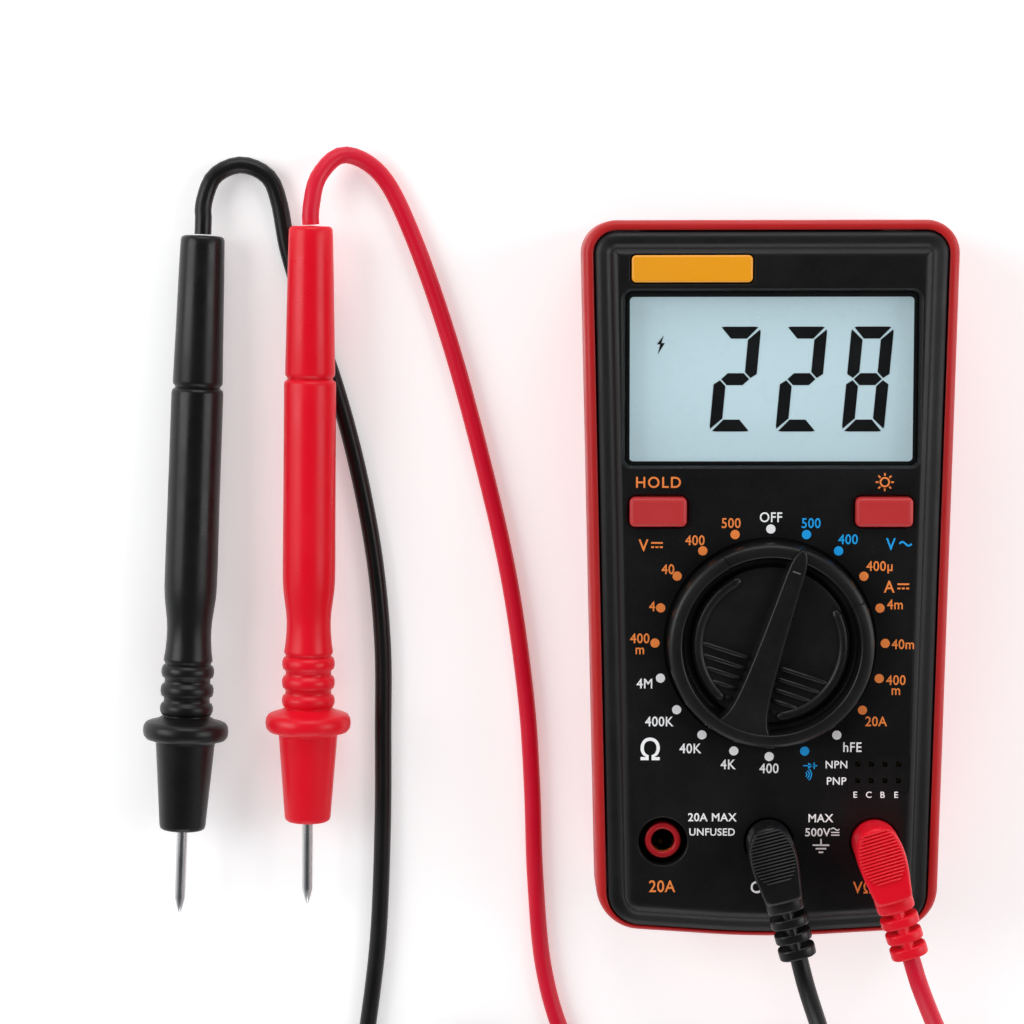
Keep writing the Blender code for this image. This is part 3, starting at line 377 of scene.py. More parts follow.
def case_outline(inset):
    """The case from above: tapered towards the bottom edge, which is slightly bowed."""
    top = LENGTH / 2
    side = WIDTH_TOP / 2
    low_side = WIDTH_BOTTOM / 2
    flat = top - BOTTOM_BOW
    bow_depth, bow_radius = 0.45, 170.0
    corners = [(side, top, CORNER_TOP), (-side, top, CORNER_TOP), (-low_side, -flat, CORNER_BOTTOM),
               (0.0, -top - bow_depth, bow_radius), (low_side, -flat, CORNER_BOTTOM)]
    return rounded_outline(corners, inset, 16)


def front_outline(inset, pull=1.0):
    """The front moulding's outline: as the case's, and reaching further into the rim at the bottom."""
    reach, begins, over = 0.95, 46.0, 14.0
    outline = []
    for x, y in case_outline(inset):
        share = min(max((-y - begins) / over, 0.0), 1.0)
        outline.append((x, y - reach * pull * share * share * (3 - 2 * share)))
    return outline


def back_outline(inset, z):
    """The red shell's outline at a height: drafted, so the back is a little wider than the rim."""
    draft, over = 0.021, 16.0
    share = min(max((RIM_Z - z) / over, 0.0), 1.0)
    spread = 1.0 + draft * share * (2.0 - share)
    pull = min(max((inset - 0.4) / 1.6, 0.0), 1.0) if z > 20.0 else 0.0
    return [(x * spread, y) for x, y in front_outline(inset, pull)]


def block(width, depth, radius, centre=(0.0, 0.0), grow=0.0, arc_steps=8):
    """A rounded rectangle, grown outwards on every side by grow."""
    half_x = width / 2 + grow
    half_y = depth / 2 + grow
    around = max(radius + grow, 0.05)
    corners = [(centre[0] + sx * half_x, centre[1] + sy * half_y, around)
               for sx, sy in ((1, 1), (-1, 1), (-1, -1), (1, -1))]
    return rounded_outline(corners, 0.0, arc_steps)


def circle(radius, centre, sides):
    """A circle's outline."""
    return [(centre[0] + radius * math.cos(2 * math.pi * i / sides),
             centre[1] + radius * math.sin(2 * math.pi * i / sides)) for i in range(sides)]


def mouth(outline_at, low, lip=0.28):
    """A cutter for a hole in the face whose edge is softened by a small round lip."""
    steps = [(low, 0.0), (FACE_Z - lip, 0.0), (FACE_Z - lip * 0.45, lip * 0.16),
             (FACE_Z - lip * 0.12, lip * 0.52), (FACE_Z, lip), (FACE_Z + 3.0, lip)]
    return stack([(z, outline_at(grow)) for z, grow in steps])


def ridge(points, width, height):
    """A low rounded bead along points that lie level, with its root a little below them."""
    base = 0.35
    route = [Vector(p) for p in points]
    rings = []
    section = [(-0.5, -base / height), (-0.47, 0.45), (-0.32, 0.84), (0.0, 1.0), (0.32, 0.84), (0.47, 0.45),
               (0.5, -base / height)]
    for i, at in enumerate(route):
        ahead = (route[min(i + 1, len(route) - 1)] - route[max(i - 1, 0)]).normalized()
        side = ahead.cross(UP).normalized()
        taper = 0.55 if i in (0, len(route) - 1) else 1.0
        rings.append([at + side * (x * width * taper) + UP * (z * height * (taper if z > 0 else 1.0))
                      for x, z in section])
    return layers(rings)


def smooth_route(points, spacing):
    """Points a set distance apart on a smooth curve through given points."""
    fineness = 20
    knots = [Vector(p) for p in points]
    knots = [knots[0] * 2 - knots[1]] + knots + [knots[-1] * 2 - knots[-2]]
    dense = []
    for i in range(1, len(knots) - 2):
        a, b, c, d = knots[i - 1:i + 3]
        for step in range(fineness):
            t = step / fineness
            dense.append(0.5 * (2 * b + (c - a) * t + (2 * a - 5 * b + 4 * c - d) * t * t
                                + (3 * b - a - 3 * c + d) * t ** 3))
    dense.append(knots[-2])
    total = sum((q - p).length for p, q in zip(dense, dense[1:]))
    count = max(2, round(total / spacing))
    route = [dense[0]]
    travelled = 0.0
    target = total / count
    for p, q in zip(dense, dense[1:]):
        step = (q - p).length
        while travelled + step >= target and len(route) < count:
            route.append(p.lerp(q, (target - travelled) / step))
            target += total / count
        travelled += step
    route.append(dense[-1])
    return route


def sweep(route, radius):
    """A round tube along a route, without twist."""
    section = circle(radius, (0.0, 0.0), 16)
    rings = []
    side = None
    for i, at in enumerate(route):
        ahead = (route[min(i + 1, len(route) - 1)] - route[max(i - 1, 0)]).normalized()
        if side is None:
            side = ahead.cross(UP if abs(ahead.z) < 0.9 else Vector((1.0, 0.0, 0.0))).normalized()
        side = (side - ahead * side.dot(ahead)).normalized()
        other = ahead.cross(side)
        rings.append([at + side * across + other * up for across, up in section])
    return layers(rings)


def moved(shape, matrix):
    """A shape placed by a matrix."""
    verts, faces = shape
    return [matrix @ v for v in verts], faces


def smooth_shade(mesh, sharp=38.0):
    """Smooth shading, with edges over sharp degrees kept crisp."""
    for polygon in mesh.polygons:
        polygon.use_smooth = True
    mesh.set_sharp_from_angle(angle=math.radians(sharp))


def make(name, shapes, finish, body=None, replaces=(), sharp=38.0):
    """One piece from several closed shapes, in millimetres, riding on a body."""
    bm = bmesh.new()
    for verts, faces in shapes:
        placed = [bm.verts.new(v * MM) for v in verts]
        for face in faces:
            bm.faces.new([placed[i] for i in face])
    bmesh.ops.recalc_face_normals(bm, faces=bm.faces)
    mesh = bpy.data.meshes.new(name)
    bm.to_mesh(mesh)
    bm.free()
    smooth_shade(mesh, sharp)
    piece = add_object(name, mesh)
    if finish:
        mesh.materials.append(finish)
    if body:
        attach(piece, body)
    if replaces:
        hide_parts(*replaces)
    return piece


def carve(piece, *cutters):
    """Cuts shapes out of a piece and keeps the result as its mesh."""
    tools = [make(f"{piece.name}_cutter_{i}", [shape], None) for i, shape in enumerate(cutters)]
    for tool in tools:
        boolean = piece.modifiers.new(tool.name, "BOOLEAN")
        boolean.operation = "DIFFERENCE"
        boolean.solver = "EXACT"
        boolean.object = tool
    bpy.context.view_layer.update()
    seen = piece.evaluated_get(bpy.context.evaluated_depsgraph_get())
    mesh = bpy.data.meshes.new_from_object(seen)
    piece.modifiers.clear()
    old = piece.data
    piece.data = mesh
    bpy.data.meshes.remove(old)
    mesh.name = piece.name
    for tool in tools:
        bpy.data.objects.remove(tool, do_unlink=True)
    smooth_shade(mesh)


# ---- camera

camera_data = bpy.data.cameras.new("camera")
camera_data.sensor_width = 36.0
camera_data.lens = 100.55
camera = add_object("camera", camera_data)
camera.location = (-0.0343, 0.0653, 0.540)
camera.rotation_euler = (math.radians(-5.86), math.radians(1.33), math.radians(-0.11))
bpy.context.scene.camera = camera


# ---- leads

def plug_exit(colour):
    """Where a cord leaves its plug's strain relief."""
    reach = PLUG_REACH + GAP
    turn = PLUG_TURN[colour]
    return Vector((PLUG_X[colour] + reach * math.sin(turn), JACK_Y - reach * math.cos(turn), NECK_Z))


def probe_entry(colour):
    """Where a cord meets its probe's rear end, and the direction backwards from there."""
    rear, lean, tilt = PROBES[colour]
    back = Vector((math.sin(lean) * math.cos(tilt), math.cos(lean) * math.cos(tilt), -math.sin(tilt)))
    return rear + back * GAP, back


def coil(centre, start, sweep_angle, order):
    """Clockwise turns, two beside each other on two levels; order lists (ring, level) of each turn.

    Each change of place comes earlier than the one before, so no turn runs into another.
    """
    changes = ((270.0, 330.0), (200.0, 260.0), (130.0, 190.0))
    points = []
    steps = round(sweep_angle / 15.0)
    for step in range(steps + 1):
        gone = sweep_angle * step / steps
        turn = min(int(gone // 360.0), 3)
        part = gone - 360.0 * turn
        radius, level = (COIL_RADII[order[turn][0]], COIL_LEVELS[order[turn][1]])
        if turn < 3:
            low, high = changes[turn]
            t = min(max((part - low) / (high - low), 0.0), 1.0)
            t = t * t * (3 - 2 * t)
            radius += (COIL_RADII[order[turn + 1][0]] - radius) * t
            level += (COIL_LEVELS[order[turn + 1][1]] - level) * t
        angle = math.radians(start - gone)
        points.append((centre[0] + radius * math.cos(angle), centre[1] + radius * math.sin(angle), level))
    return points


black_end, black_back = probe_entry("black")
red_end, red_back = probe_entry("red")
COIL_BLACK = (-56.0, -117.0)
COIL_RED = (31.0, -121.0)
Z = CORD_RADIUS + 0.02  # a cord's centre line where it lies on the floor
ROUTES = {  # the CAD cords' own points
    "black": [plug_exit("black"), (6.4, -71.4, 40.4), (9.0, -79.5, 37.4), (11.6, -88.0, 30.0),
              (12.6, -95.5, 20.2), (10.8, -102.5, 10.4), (5.6, -108.0, 4.2), (-2.6, -112.2, 1.8),
              (-13.0, -117.2, Z), (-20.5, -121.6, Z), (-29.0, -127.4, Z), (-38.4, -132.8, Z),
              (-46.8, -135.9, Z)]
             + coil(COIL_BLACK, -90.0, 1170.0, ((0, 0), (1, 0), (1, 1), (0, 1)))
             + [(-76.0, -111.0, 4.6), (-76.5, -104.0, 3.1), (-76.2, -97.0, 1.9), (-75.0, -90.0, Z),
                (-72.8, -72.0, Z), (-71.8, -50.0, Z), (-71.6, -32.0, Z), (-71.6, -15.0, Z), (-73.2, 2.5, Z),
                (-76.6, 20.5, Z), (-81.0, 36.5, Z), (-86.0, 50.0, Z), (-88.9, 59.5, Z), (-90.5, 68.4, Z),
                (-92.6, 73.3, 1.75), (-97.5, 75.4, 2.1), (-102.4, 73.3, 2.7), (-104.4, 68.4, 3.4),
                black_end + black_back * 3.0, black_end],
    "red": [plug_exit("red"), (26.6, -71.2, 40.4), (30.0, -79.5, 37.2), (34.2, -88.0, 29.8),
            (38.4, -96.0, 20.0), (41.8, -101.4, 12.6), (45.0, -105.4, 9.2), (48.2, -110.5, 7.0),
            (50.1, -115.8, 5.4)]
           + coil(COIL_RED, 0.0, 1199.7, ((0, 1), (1, 1), (1, 0), (0, 0)))
           + [(16.0, -135.0, Z), (10.0, -131.3, Z), (1.0, -124.6, 3.0), (-10.4, -116.8, 5.25),
              (-21.0, -109.8, 3.6), (-30.4, -102.0, 1.8), (-37.0, -92.0, Z), (-41.0, -78.0, Z),
              (-42.6, -60.0, Z), (-43.2, -42.0, Z), (-44.4, -24.6, Z), (-47.6, -2.0, Z), (-52.8, 21.0, Z),
              (-58.8, 43.0, Z), (-65.4, 62.0, Z), (-71.2, 73.4, 1.9), (-78.0, 77.2, 3.6),
              (-82.6, 73.2, 5.8), red_end + red_back * 3.0, red_end],
}


def tie(name, centre, angle):
    """A thin strap round the four runs of a coil, with its small buckle on top."""
    low, high, inner, outer = 0.28, 6.72, 14.35, 21.65
    middle = ((inner + outer) / 2, (low + high) / 2)
    wide = block(outer - inner, high - low, 1.5, middle, arc_steps=6)
    slim = block(outer - inner, high - low, 1.2, middle, -0.42, arc_steps=6)
    half = 1.35
    rings = []
    for across, outline in ((-half, slim), (-half, wide), (half, wide), (half, slim)):
        rings.append([(r, across, z) for r, z in outline])
    band = layers(rings, closed=True)
    buckle_base, buckle_top = [block(4.4, 4.2, 0.6, (18.0, 0.0), grow) for grow in (0.0, -0.3)]
    buckle = stack([(6.5, buckle_base), (7.6, buckle_base), (7.9, buckle_top)])
    tongue = slab(block(7.5, 2.2, 0.9, (22.6, 0.0)), 6.95, 7.35)
    turn = Matrix.Translation((centre[0], centre[1], 0.0)) @ Matrix.Rotation(math.radians(angle), 4, "Z")
    return make(name, [moved(s, turn) for s in (band, buckle, tongue)], TIE, "meter")


ties = {"black": tie("coil_tie_black", COIL_BLACK, -135.0), "red": tie("coil_tie_red", COIL_RED, -55.0)}
CORD_PARTS = {"black": ("drop", "tail", "coil", "run"), "red": ("drop", "coil", "run")}
lead_pieces = {}
for colour, finish in (("black", BLACK_CORD), ("red", RED_CORD)):
    route = smooth_route(ROUTES[colour], 1.5)
    lead = make(f"lead_{colour}", [sweep(route, CORD_RADIUS)], finish, None,
                [f"cord_{colour}_{part}" for part in CORD_PARTS[colour]], sharp=60.0)
    lead_pieces[colour] = (lead, route)


# ---- probes

def probe(colour, grip):
    """A handle with its grooves, grip rings and finger guard, and the needle in its cone."""
    rear, lean, tilt = PROBES[colour]
    cone = HANDLE_LENGTH
    guard = cone - GUARD_FROM_END
    outline = [(0.0, 0.1), (2.1, 0.0), (3.4, -0.02), (3.86, -0.22), (4.08, -0.7), (4.14, -2.0), (4.3, -9.0),
               (4.48, -18.0), (4.68, -27.3), (4.6, -27.8), (4.28, -28.1), (4.22, -28.45), (4.5, -28.7),
               (4.78, -28.95), (4.86, -29.5), (4.87, -40.0), (4.9, -52.0), (4.95, -62.0), (4.93, -66.0),
               (4.82, -68.0), (4.54, -70.2), (4.28, -72.2), (4.16, -74.0), (4.2, -76.0), (4.36, -78.0),
               (4.56, -79.4), (4.62, -79.9), (4.34, -80.2), (4.3, -80.6), (4.72, -80.9), (4.94, -81.5),
               (4.98, -82.2), (4.8, -82.9), (4.36, -83.2), (4.28, -83.7), (4.34, -84.2), (4.78, -84.5),
               (4.98, -85.1), (5.0, -85.8), (4.82, -86.5), (4.38, -86.8), (4.3, -87.3), (4.36, -87.8),
               (4.8, -88.1), (5.0, -88.7), (4.98, -89.4), (4.76, -90.0), (4.5, -90.2), (4.5, -guard + 1.2),
               (5.4, -guard + 0.6), (6.9, -guard + 0.2), (7.55, -guard - 0.1), (7.95, -guard - 0.75),
               (GUARD_RADIUS, -guard - 1.7), (7.9, -guard - 2.6), (7.4, -guard - 3.2), (6.2, -guard - 3.55),
               (5.6, -guard - 3.9), (5.5, -guard - 4.6), (4.36, -cone + 0.9), (4.22, -cone + 0.3),
               (3.8, -cone), (1.6, -cone), (1.25, -cone + 0.5), (1.2, -cone + 8.2), (0.0, -cone + 8.2)]
    point = -cone - TIP_LENGTH
    tip = [(0.0, -cone + 8.0), (1.0, -cone + 8.0), (1.0, point + 3.2), (0.92, point + 2.6),
           (0.62, point + 1.4), (0.34, point + 0.5), (0.16, point + 0.12), (0.0, point)]
    stand = (Matrix.Translation(rear)
             @ Matrix.Rotation(-lean, 4, "Z") @ Matrix.Rotation(-math.pi / 2 - tilt, 4, "X"))
    handle = make(f"probe_{colour}", [moved(lathe(outline, 56), stand)], grip, "meter",
                  (f"probe_handle_{colour}",), sharp=50.0)
    needle = make(f"probe_needle_{colour}", [moved(lathe(tip, 28), stand)], STEEL, "meter",
                  (f"probe_tip_{colour}",))
    return handle, needle


# ---- plugs

def head_outline(grow):
    """The plug's head from above, grown by a share of its size.

    It is round over the pin, fullest in the middle and narrower at the neck.
    """
    half = [(0.0, 5.7), (1.6, 5.35), (2.9, 4.4), (3.72, 2.9), (4.14, 0.9), (4.22, -1.2), (4.06, -3.2),
            (3.78, -5.0), (3.5, -6.8), (3.2, -8.0), (2.3, -8.5), (0.0, -8.6)]
    spacing = 12.5 / 28
    middle_y = -2.0
    route = smooth_route([(x, y, 0.0) for x, y in half], spacing)
    right = [(p.x, p.y) for p in route]
    left = [(-x, y) for x, y in reversed(right[1:-1])]
    scale = 1.0 + grow
    return [(x * scale, (y - middle_y) * scale + middle_y) for x, y in right + left]


def plug(colour, grip):
    """A right-angle plug: the ribbed head, its sleeve, the strain relief and the pin."""
    turn = Matrix.Translation((PLUG_X[colour], JACK_Y, 0.0)) @ Matrix.Rotation(PLUG_TURN[colour], 4, "Z")
    head = head_outline(0.0)
    sleeve_radius = 4.1
    barrel = [(x * sleeve_radius / math.hypot(x, y), y * sleeve_radius / math.hypot(x, y)) for x, y in head]

    def between(t):
        """The outline a share of the way from the round sleeve to the head."""
        return [(bx + (hx - bx) * t, by + (hy - by) * t) for (bx, by), (hx, hy) in zip(barrel, head)]

    levels = [(z, between(t)) for z, t in ((PLUG_BASE_Z, 0.0), (34.6, 0.04), (35.6, 0.2), (36.6, 0.5),
                                           (37.6, 0.82), (38.4, 0.97), (39.2, 1.0))]
    levels += [(PLUG_TOP_Z - down, head_outline(grow)) for down, grow in (
        (1.6, 0.0), (1.0, -0.015), (0.6, -0.05), (0.42, -0.1), (0.4, -0.14))]
    shapes = [stack(levels)]
    top = PLUG_TOP_Z - 0.42
    ribs = 16
    for rib in range(ribs):
        y = 4.85 - rib * 0.6
        half = 3.85 * (1.0 - abs((y - 0.35) / 5.25) ** 2.3) ** (1 / 2.3)
        shapes.append(ridge([(-half, y, top), (-half + 0.4, y, top), (half - 0.4, y, top), (half, y, top)],
                            0.42, 0.42))
    sleeve = [(3.95, PLUG_BASE_Z + 1.0), (4.0, PLUG_BASE_Z - 0.4), (sleeve_radius, PLUG_BASE_Z - 0.8),
              (sleeve_radius, 24.8), (3.9, 24.4), (3.7, 24.4), (3.55, 24.7), (3.55, PLUG_BASE_Z + 1.0),
              (3.95, PLUG_BASE_Z + 1.0)]
    shapes.append(lathe(sleeve, 40))
    body = make(f"plug_head_{colour}", [moved(s, turn) for s in shapes], grip, f"{colour}_plug",
                (f"plug_{colour}",), sharp=44.0)

    def squircle(y, wide, high):
        """A cross-section of the neck, between a circle and a square."""
        power = 2.6
        ring = []
        for c, s in circle(1.0, (0.0, 0.0), 48):
            fat = (abs(c) ** power + abs(s) ** power) ** (-1 / power)
            ring.append((wide * fat * c, y, NECK_Z + high * fat * s))
        return ring

    def disc(near, far, wide, high):
        """A slice of the neck with rounded edges, from near to far along the cord."""
        cuts = ((near, 0.5), (near - 0.06, 0.22), (near - 0.2, 0.05), (near - 0.42, 0.0), (far + 0.42, 0.0),
                (far + 0.2, 0.05), (far + 0.06, 0.22), (far, 0.5))
        return layers([squircle(y, wide - inset, high - inset) for y, inset in cuts])

    relief = [layers([squircle(y, wide, high) for y, wide, high in (
        (-4.0, 2.9, 2.9), (-6.6, 3.3, 3.3), (-8.4, 3.42, 3.4), (-10.0, 3.4, 3.36), (-10.35, 3.3, 3.26),
        (-10.55, 3.05, 3.0), (-10.62, 2.7, 2.7))])]
    relief += [disc(-11.52, -13.45, 3.42, 3.3), disc(-14.38, -16.25, 3.3, 3.2),
               disc(-17.15, -19.2, 3.34, 3.2)]
    relief.append(layers([squircle(y, 1.2, 3.16) for y in (-10.2, -14.0, -18.6)]))
    neck = make(f"strain_relief_{colour}", [moved(shape, turn) for shape in relief], grip, f"{colour}_plug",
                sharp=50.0)
    pin_side = [(0.0, 37.9), (PIN_RADIUS, 37.9), (PIN_RADIUS, 15.2), (1.7, 14.6), (1.3, 14.0), (0.8, 13.65),
                (0.0, 13.5)]
    pin = make(f"pin_{colour}", [moved(lathe(pin_side, 40), turn)], STEEL, f"{colour}_plug",
               (f"plug_pin_{colour}",))
    return [body, neck, pin]


for colour, grip in (("black", BLACK_GRIP), ("red", RED_GRIP)):
    lead, route = lead_pieces[colour]
    on_it = [*plug(colour, grip), *probe(colour, grip), ties[colour]]
    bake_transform(lead)


# ---- casing

def recess(wide, narrow, bevel, depth):
    """A cutter for a hole in the back whose mouth has a small bevel."""
    return stack([(-1.0, wide), (0.0, wide), (bevel, narrow), (depth, narrow)])


def back_shell():
    """The red shell, hollow, with the door's recess, the battery bay and the screw wells."""
    skin = [(0.0, 3.5), (0.06, 3.1), (0.3, 2.45), (0.7, 1.8), (1.2, 1.25), (1.8, 0.88), (2.6, 0.6),
            (3.8, 0.42), (6.0, 0.33), (16.0, 0.16), (26.4, 0.0), (27.2, 0.05), (27.75, 0.18), (28.1, 0.4),
            (28.3, 0.7), (RIM_Z, 1.05), (RIM_Z, 1.5), (28.2, WALL), (24.0, WALL), (6.0, 2.2), (3.6, 3.0),
            (FLOOR, 4.6)]
    shell = make("back_shell", [stack([(z, back_outline(inset, z)) for z, inset in skin])], RED_SHELL)
    door = recess(block(*DOOR_SIZE, 2.3, DOOR, 0.4), block(*DOOR_SIZE, 2.3, DOOR, 0.25), 0.25, 1.8)
    bay = slab(block(*BATTERY_BAY_SIZE, 1.0, BATTERY_BAY), -1.0, 4.0)
    wells = [recess(circle(3.05, at, 32), circle(2.75, at, 32), 0.3, 5.0) for at in SCREWS]
    carve(shell, door, bay, *wells)
    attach(shell, "meter")
    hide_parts("rear_case")


def front_shell():
    """The black moulding, hollow below, with its openings, and the three wells of the jacks."""
    skin = [(29.3, 6.2), (28.1, 4.9), (27.0, 3.6), (SKIRT_Z, 3.6), (SKIRT_Z, 2.05), (28.0, 2.05),
            (28.35, 2.1), (28.65, 2.24), (28.88, 2.5), (29.05, 2.86), (29.18, 3.3), (29.32, 3.95),
            (29.48, 4.45), (29.7, 4.75), (30.05, 4.94), (30.5, 5.1), (30.9, 5.3), (31.2, 5.62), (31.4, 6.05),
            (31.48, 6.45), (FACE_Z, 6.9), (FACE_Z, 7.5)]
    shell = make("front_shell", [stack([(z, front_outline(inset)) for z, inset in skin])], BLACK_SHELL)
    ledge = block(*WINDOW, 1.1, DISPLAY, GAP)
    slope = [(z, block(*BEZEL, 1.8, DISPLAY, grow))
             for z, grow in ((31.3, -0.12), (31.44, 0.02), (FACE_Z, 0.24), (ABOVE_Z, 0.24))]
    cutters = [
        slab(block(*SIGHT, 0.8, DISPLAY), 25.0, ABOVE_Z),
        stack([(29.95, ledge), (30.7, ledge), *slope]),
        mouth(lambda grow: circle(KNOB_RADIUS + 0.5 + grow, DIAL, 128), FACE_Z - 0.8),
        slab(circle(STEM_RADIUS + 0.4, DIAL, 48), 28.0, ABOVE_Z),
        slab(block(*SOCKET_SIZE, 0.5, SOCKET, 0.04), 28.0, ABOVE_Z),
        mouth(lambda grow: block(*BADGE_SIZE, 0.8, BADGE, GAP + grow), FACE_Z - 0.7, lip=0.2),
    ]
    for side in (-1, 1):
        key_at = (side * KEY_X, KEY_Y)
        cutters.append(mouth(lambda grow: block(*KEY_SIZE, 1.3, key_at, GAP + grow), 28.0))
    for number in (-1, 0, 1):
        jack_at = (number * JACK_PITCH, JACK_Y)
        cutters.append(mouth(lambda grow: circle(WELL_RADIUS + grow, jack_at, 64), 24.0))
    carve(shell, *cutters)
    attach(shell, "meter")
    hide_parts("front_case")
    profile = [(5.6, 29.35), (5.6, 22.0), (3.55, 22.0), (3.55, 23.6), (4.1, 23.6), (WELL_RADIUS + 0.02, 23.9),
               (WELL_RADIUS + 0.02, 29.35), (5.6, 29.35)]
    cups = [moved(lathe(profile, 56), Matrix.Translation((number * JACK_PITCH, JACK_Y, 0.0)))
            for number in (-1, 0, 1)]
    make("jack_wells", cups, BLACK_SHELL, "meter")


back_shell()
front_shell()
badge_edge = [(31.1, 0.0), (31.55, 0.0), (31.7, -0.1), (31.79, -0.28), (31.8, -0.5)]
make("badge", [stack([(z, block(*BADGE_SIZE, 0.8, BADGE, grow)) for z, grow in badge_edge])], AMBER, "meter",
     ("badge_plate",))


# ---- jacks

for name, number, finish in (("10a", -1, RED_COLLAR), ("com", 0, BLACK_GRIP), ("volt", 1, RED_COLLAR)):
    at = Matrix.Translation((number * JACK_PITCH, JACK_Y, 0.0))
    inner = JACK_RADIUS + 0.02
    collar = [(COLLAR_RADIUS - 0.5, 30.6), (COLLAR_RADIUS - 0.22, 30.55), (COLLAR_RADIUS - 0.05, 30.4),
              (COLLAR_RADIUS, 30.15), (COLLAR_RADIUS, 21.8), (inner, 21.8), (inner, 29.7),
              (BORE_RADIUS, 29.7), (BORE_RADIUS, 30.25), (BORE_RADIUS + 0.1, 30.45),
              (BORE_RADIUS + 0.3, 30.57), (COLLAR_RADIUS - 0.5, 30.6)]
    make(f"collar_{name}", [moved(lathe(collar, 56), at)], finish, "meter",
         (f"jack_collar_{name}",))
    sleeve = [(JACK_RADIUS, 29.45), (JACK_RADIUS, 11.0), (BORE_RADIUS, 11.0), (BORE_RADIUS, 29.2),
              (BORE_RADIUS + 0.1, 29.4), (JACK_RADIUS - 0.05, 29.5), (JACK_RADIUS, 29.45)]
    make(f"jack_sleeve_{name}", [moved(lathe(sleeve, 48), at)], BRASS, "meter", (f"jack_{name}",))


# ---- range selector

def knob():
    """The dish, its rim with a lower stretch at the pointer, the bar across it and the ribs."""
    step_edge = math.radians(46.0)
    step_angles = (step_edge, step_edge + 0.012, -step_edge, -step_edge - 0.012)
    angles = sorted({round(2 * math.pi * i / 120, 5) for i in range(120)}
                    | {round(a % (2 * math.pi), 5) for a in step_angles})

    def lowered(at, radius, angle):
        """Lets the top of the rim down beside the pointer."""
        off = min(angle, 2 * math.pi - angle)
        if off <= step_edge + 0.002 and radius > 15.6 and at.z > 33.4:
            return at - UP * (0.5 if at.z > 34.5 else 0.2)
        return at

    body = [(0.0, 33.42), (5.0, 33.5), (9.0, 33.68), (12.0, 33.95), (13.5, 34.0), (13.95, 33.86),
            (14.15, 33.5), (14.22, 32.95), (14.5, 32.62), (15.0, 32.55), (15.4, 32.66), (15.66, 33.0),
            (15.74, 33.6), (15.84, 36.0), (15.9, 36.28), (16.02, 36.44), (16.2, 36.5), (16.8, 36.47),
            (17.5, 36.36), (17.9, 36.22), (18.14, 36.0), (18.3, 35.6), (18.38, 35.0), (KNOB_RADIUS, 34.3),
            (KNOB_RADIUS, 31.4), (18.2, 31.1), (STEM_RADIUS, 31.1), (STEM_RADIUS, 24.8), (0.0, 24.8)]
    shapes = [lathe(body, angles=angles, warp=lowered)]

    side = [(1.5, 14.6), (1.62, 12.6), (1.78, 8.0), (2.12, 0.0), (2.55, -7.0), (3.05, -11.2), (3.6, -13.4),
            (4.4, -15.0), (5.6, -16.4)]
    right = smooth_route([(x, y, 0.0) for x, y in side], 1.3)

    def bar(grow):
        """Pointed bow at the front, spreading into the ring at the back."""
        bow = []
        for k in range(9):
            angle = math.pi * k / 8
            bow.append(((1.45 + grow) * math.cos(angle) * (1.0 - 0.25 * math.sin(angle)),
                        15.3 + (2.9 + grow) * math.sin(angle)))
        rest = [(p.x + grow, p.y) for p in right]
        return bow + [(-x, y) for x, y in rest] + list(reversed(rest))

    bar_low, bar_top = 32.4, 36.46
    levels = []  # the bar's top falls 0.4 mm towards the back
    for z, grow in ((bar_low, 0.5), (33.6, 0.42), (34.6, 0.26), (35.6, 0.12), (36.1, 0.04), (36.3, -0.05),
                    (36.42, -0.17), (bar_top, -0.34)):
        share = (z - bar_low) / (bar_top - bar_low)
        levels.append([(x, y, z + share * (0.1 * (y - 17.0) / 34.0 * 4.0)) for x, y in bar(grow)])
    shapes.append(layers(levels))
    arc_radius, arc_from, arc_to = 12.95, 43.0, 157.0
    for way in (-1, 1):
        arc = []
        for k in range(41):
            angle = math.radians(arc_from + (arc_to - arc_from) * k / 40)
            arc.append((way * arc_radius * math.sin(angle), arc_radius * math.cos(angle), 33.95))
        shapes.append(ridge(arc, 1.85, 0.7))
        for row in range(5):
            y = -3.4 - 1.98 * row
            inner = 2.75 + 0.06 * row * row
            outer = math.sqrt(12.3 ** 2 - y ** 2)
            start, end = (way * inner, way * outer)
            shapes.append(ridge([(start, y, 33.62), (start + (end - start) * 0.08, y, 33.66),
                                 (start + (end - start) * 0.92, y, 33.8), (end, y, 33.84)], 1.0, 0.72))
    pose = Matrix.Translation((0.0, DIAL_Y, 0.0)) @ Matrix.Rotation(POINTER_ANGLE, 4, "Z")
    make("knob", [moved(s, pose) for s in shapes], BLACK_KNOB, "selector",
         ("selector_knob",), sharp=42.0)
    notch = ridge([(-0.85, 14.0, 36.3), (-0.6, 14.0, 36.32), (0.6, 14.0, 36.32), (0.85, 14.0, 36.3)],
                  0.3, 0.16)
    make("pointer_mark", [moved(notch, pose)], MARK_GREY, "selector")


knob()


# ---- keys

for name, way, node in (("key_hold", -1, "hold_button"), ("key_light", 1, "light_button")):
    at = (way * KEY_X, KEY_Y)
    profile = [(28.5, 0.0), (32.3, 0.0), (32.62, -0.06), (32.85, -0.2), (33.0, -0.42), (33.08, -0.72),
               (KEY_TOP_Z, -1.05), (KEY_TOP_Z - 0.06, -1.6)]
    cap = stack([(z, block(*KEY_SIZE, 1.0 + max(grow, -0.9), at, grow)) for z, grow in profile])
    flange = slab(block(*KEY_SIZE, 1.0, at, 0.7), 27.6, 29.0)
    stem = slab(circle(1.5, at, 32), 26.5, 28.0)
    make(name, [cap, flange, stem], RED_KEY, f"{name.split('_')[1]}_key", (node,))


# ---- display

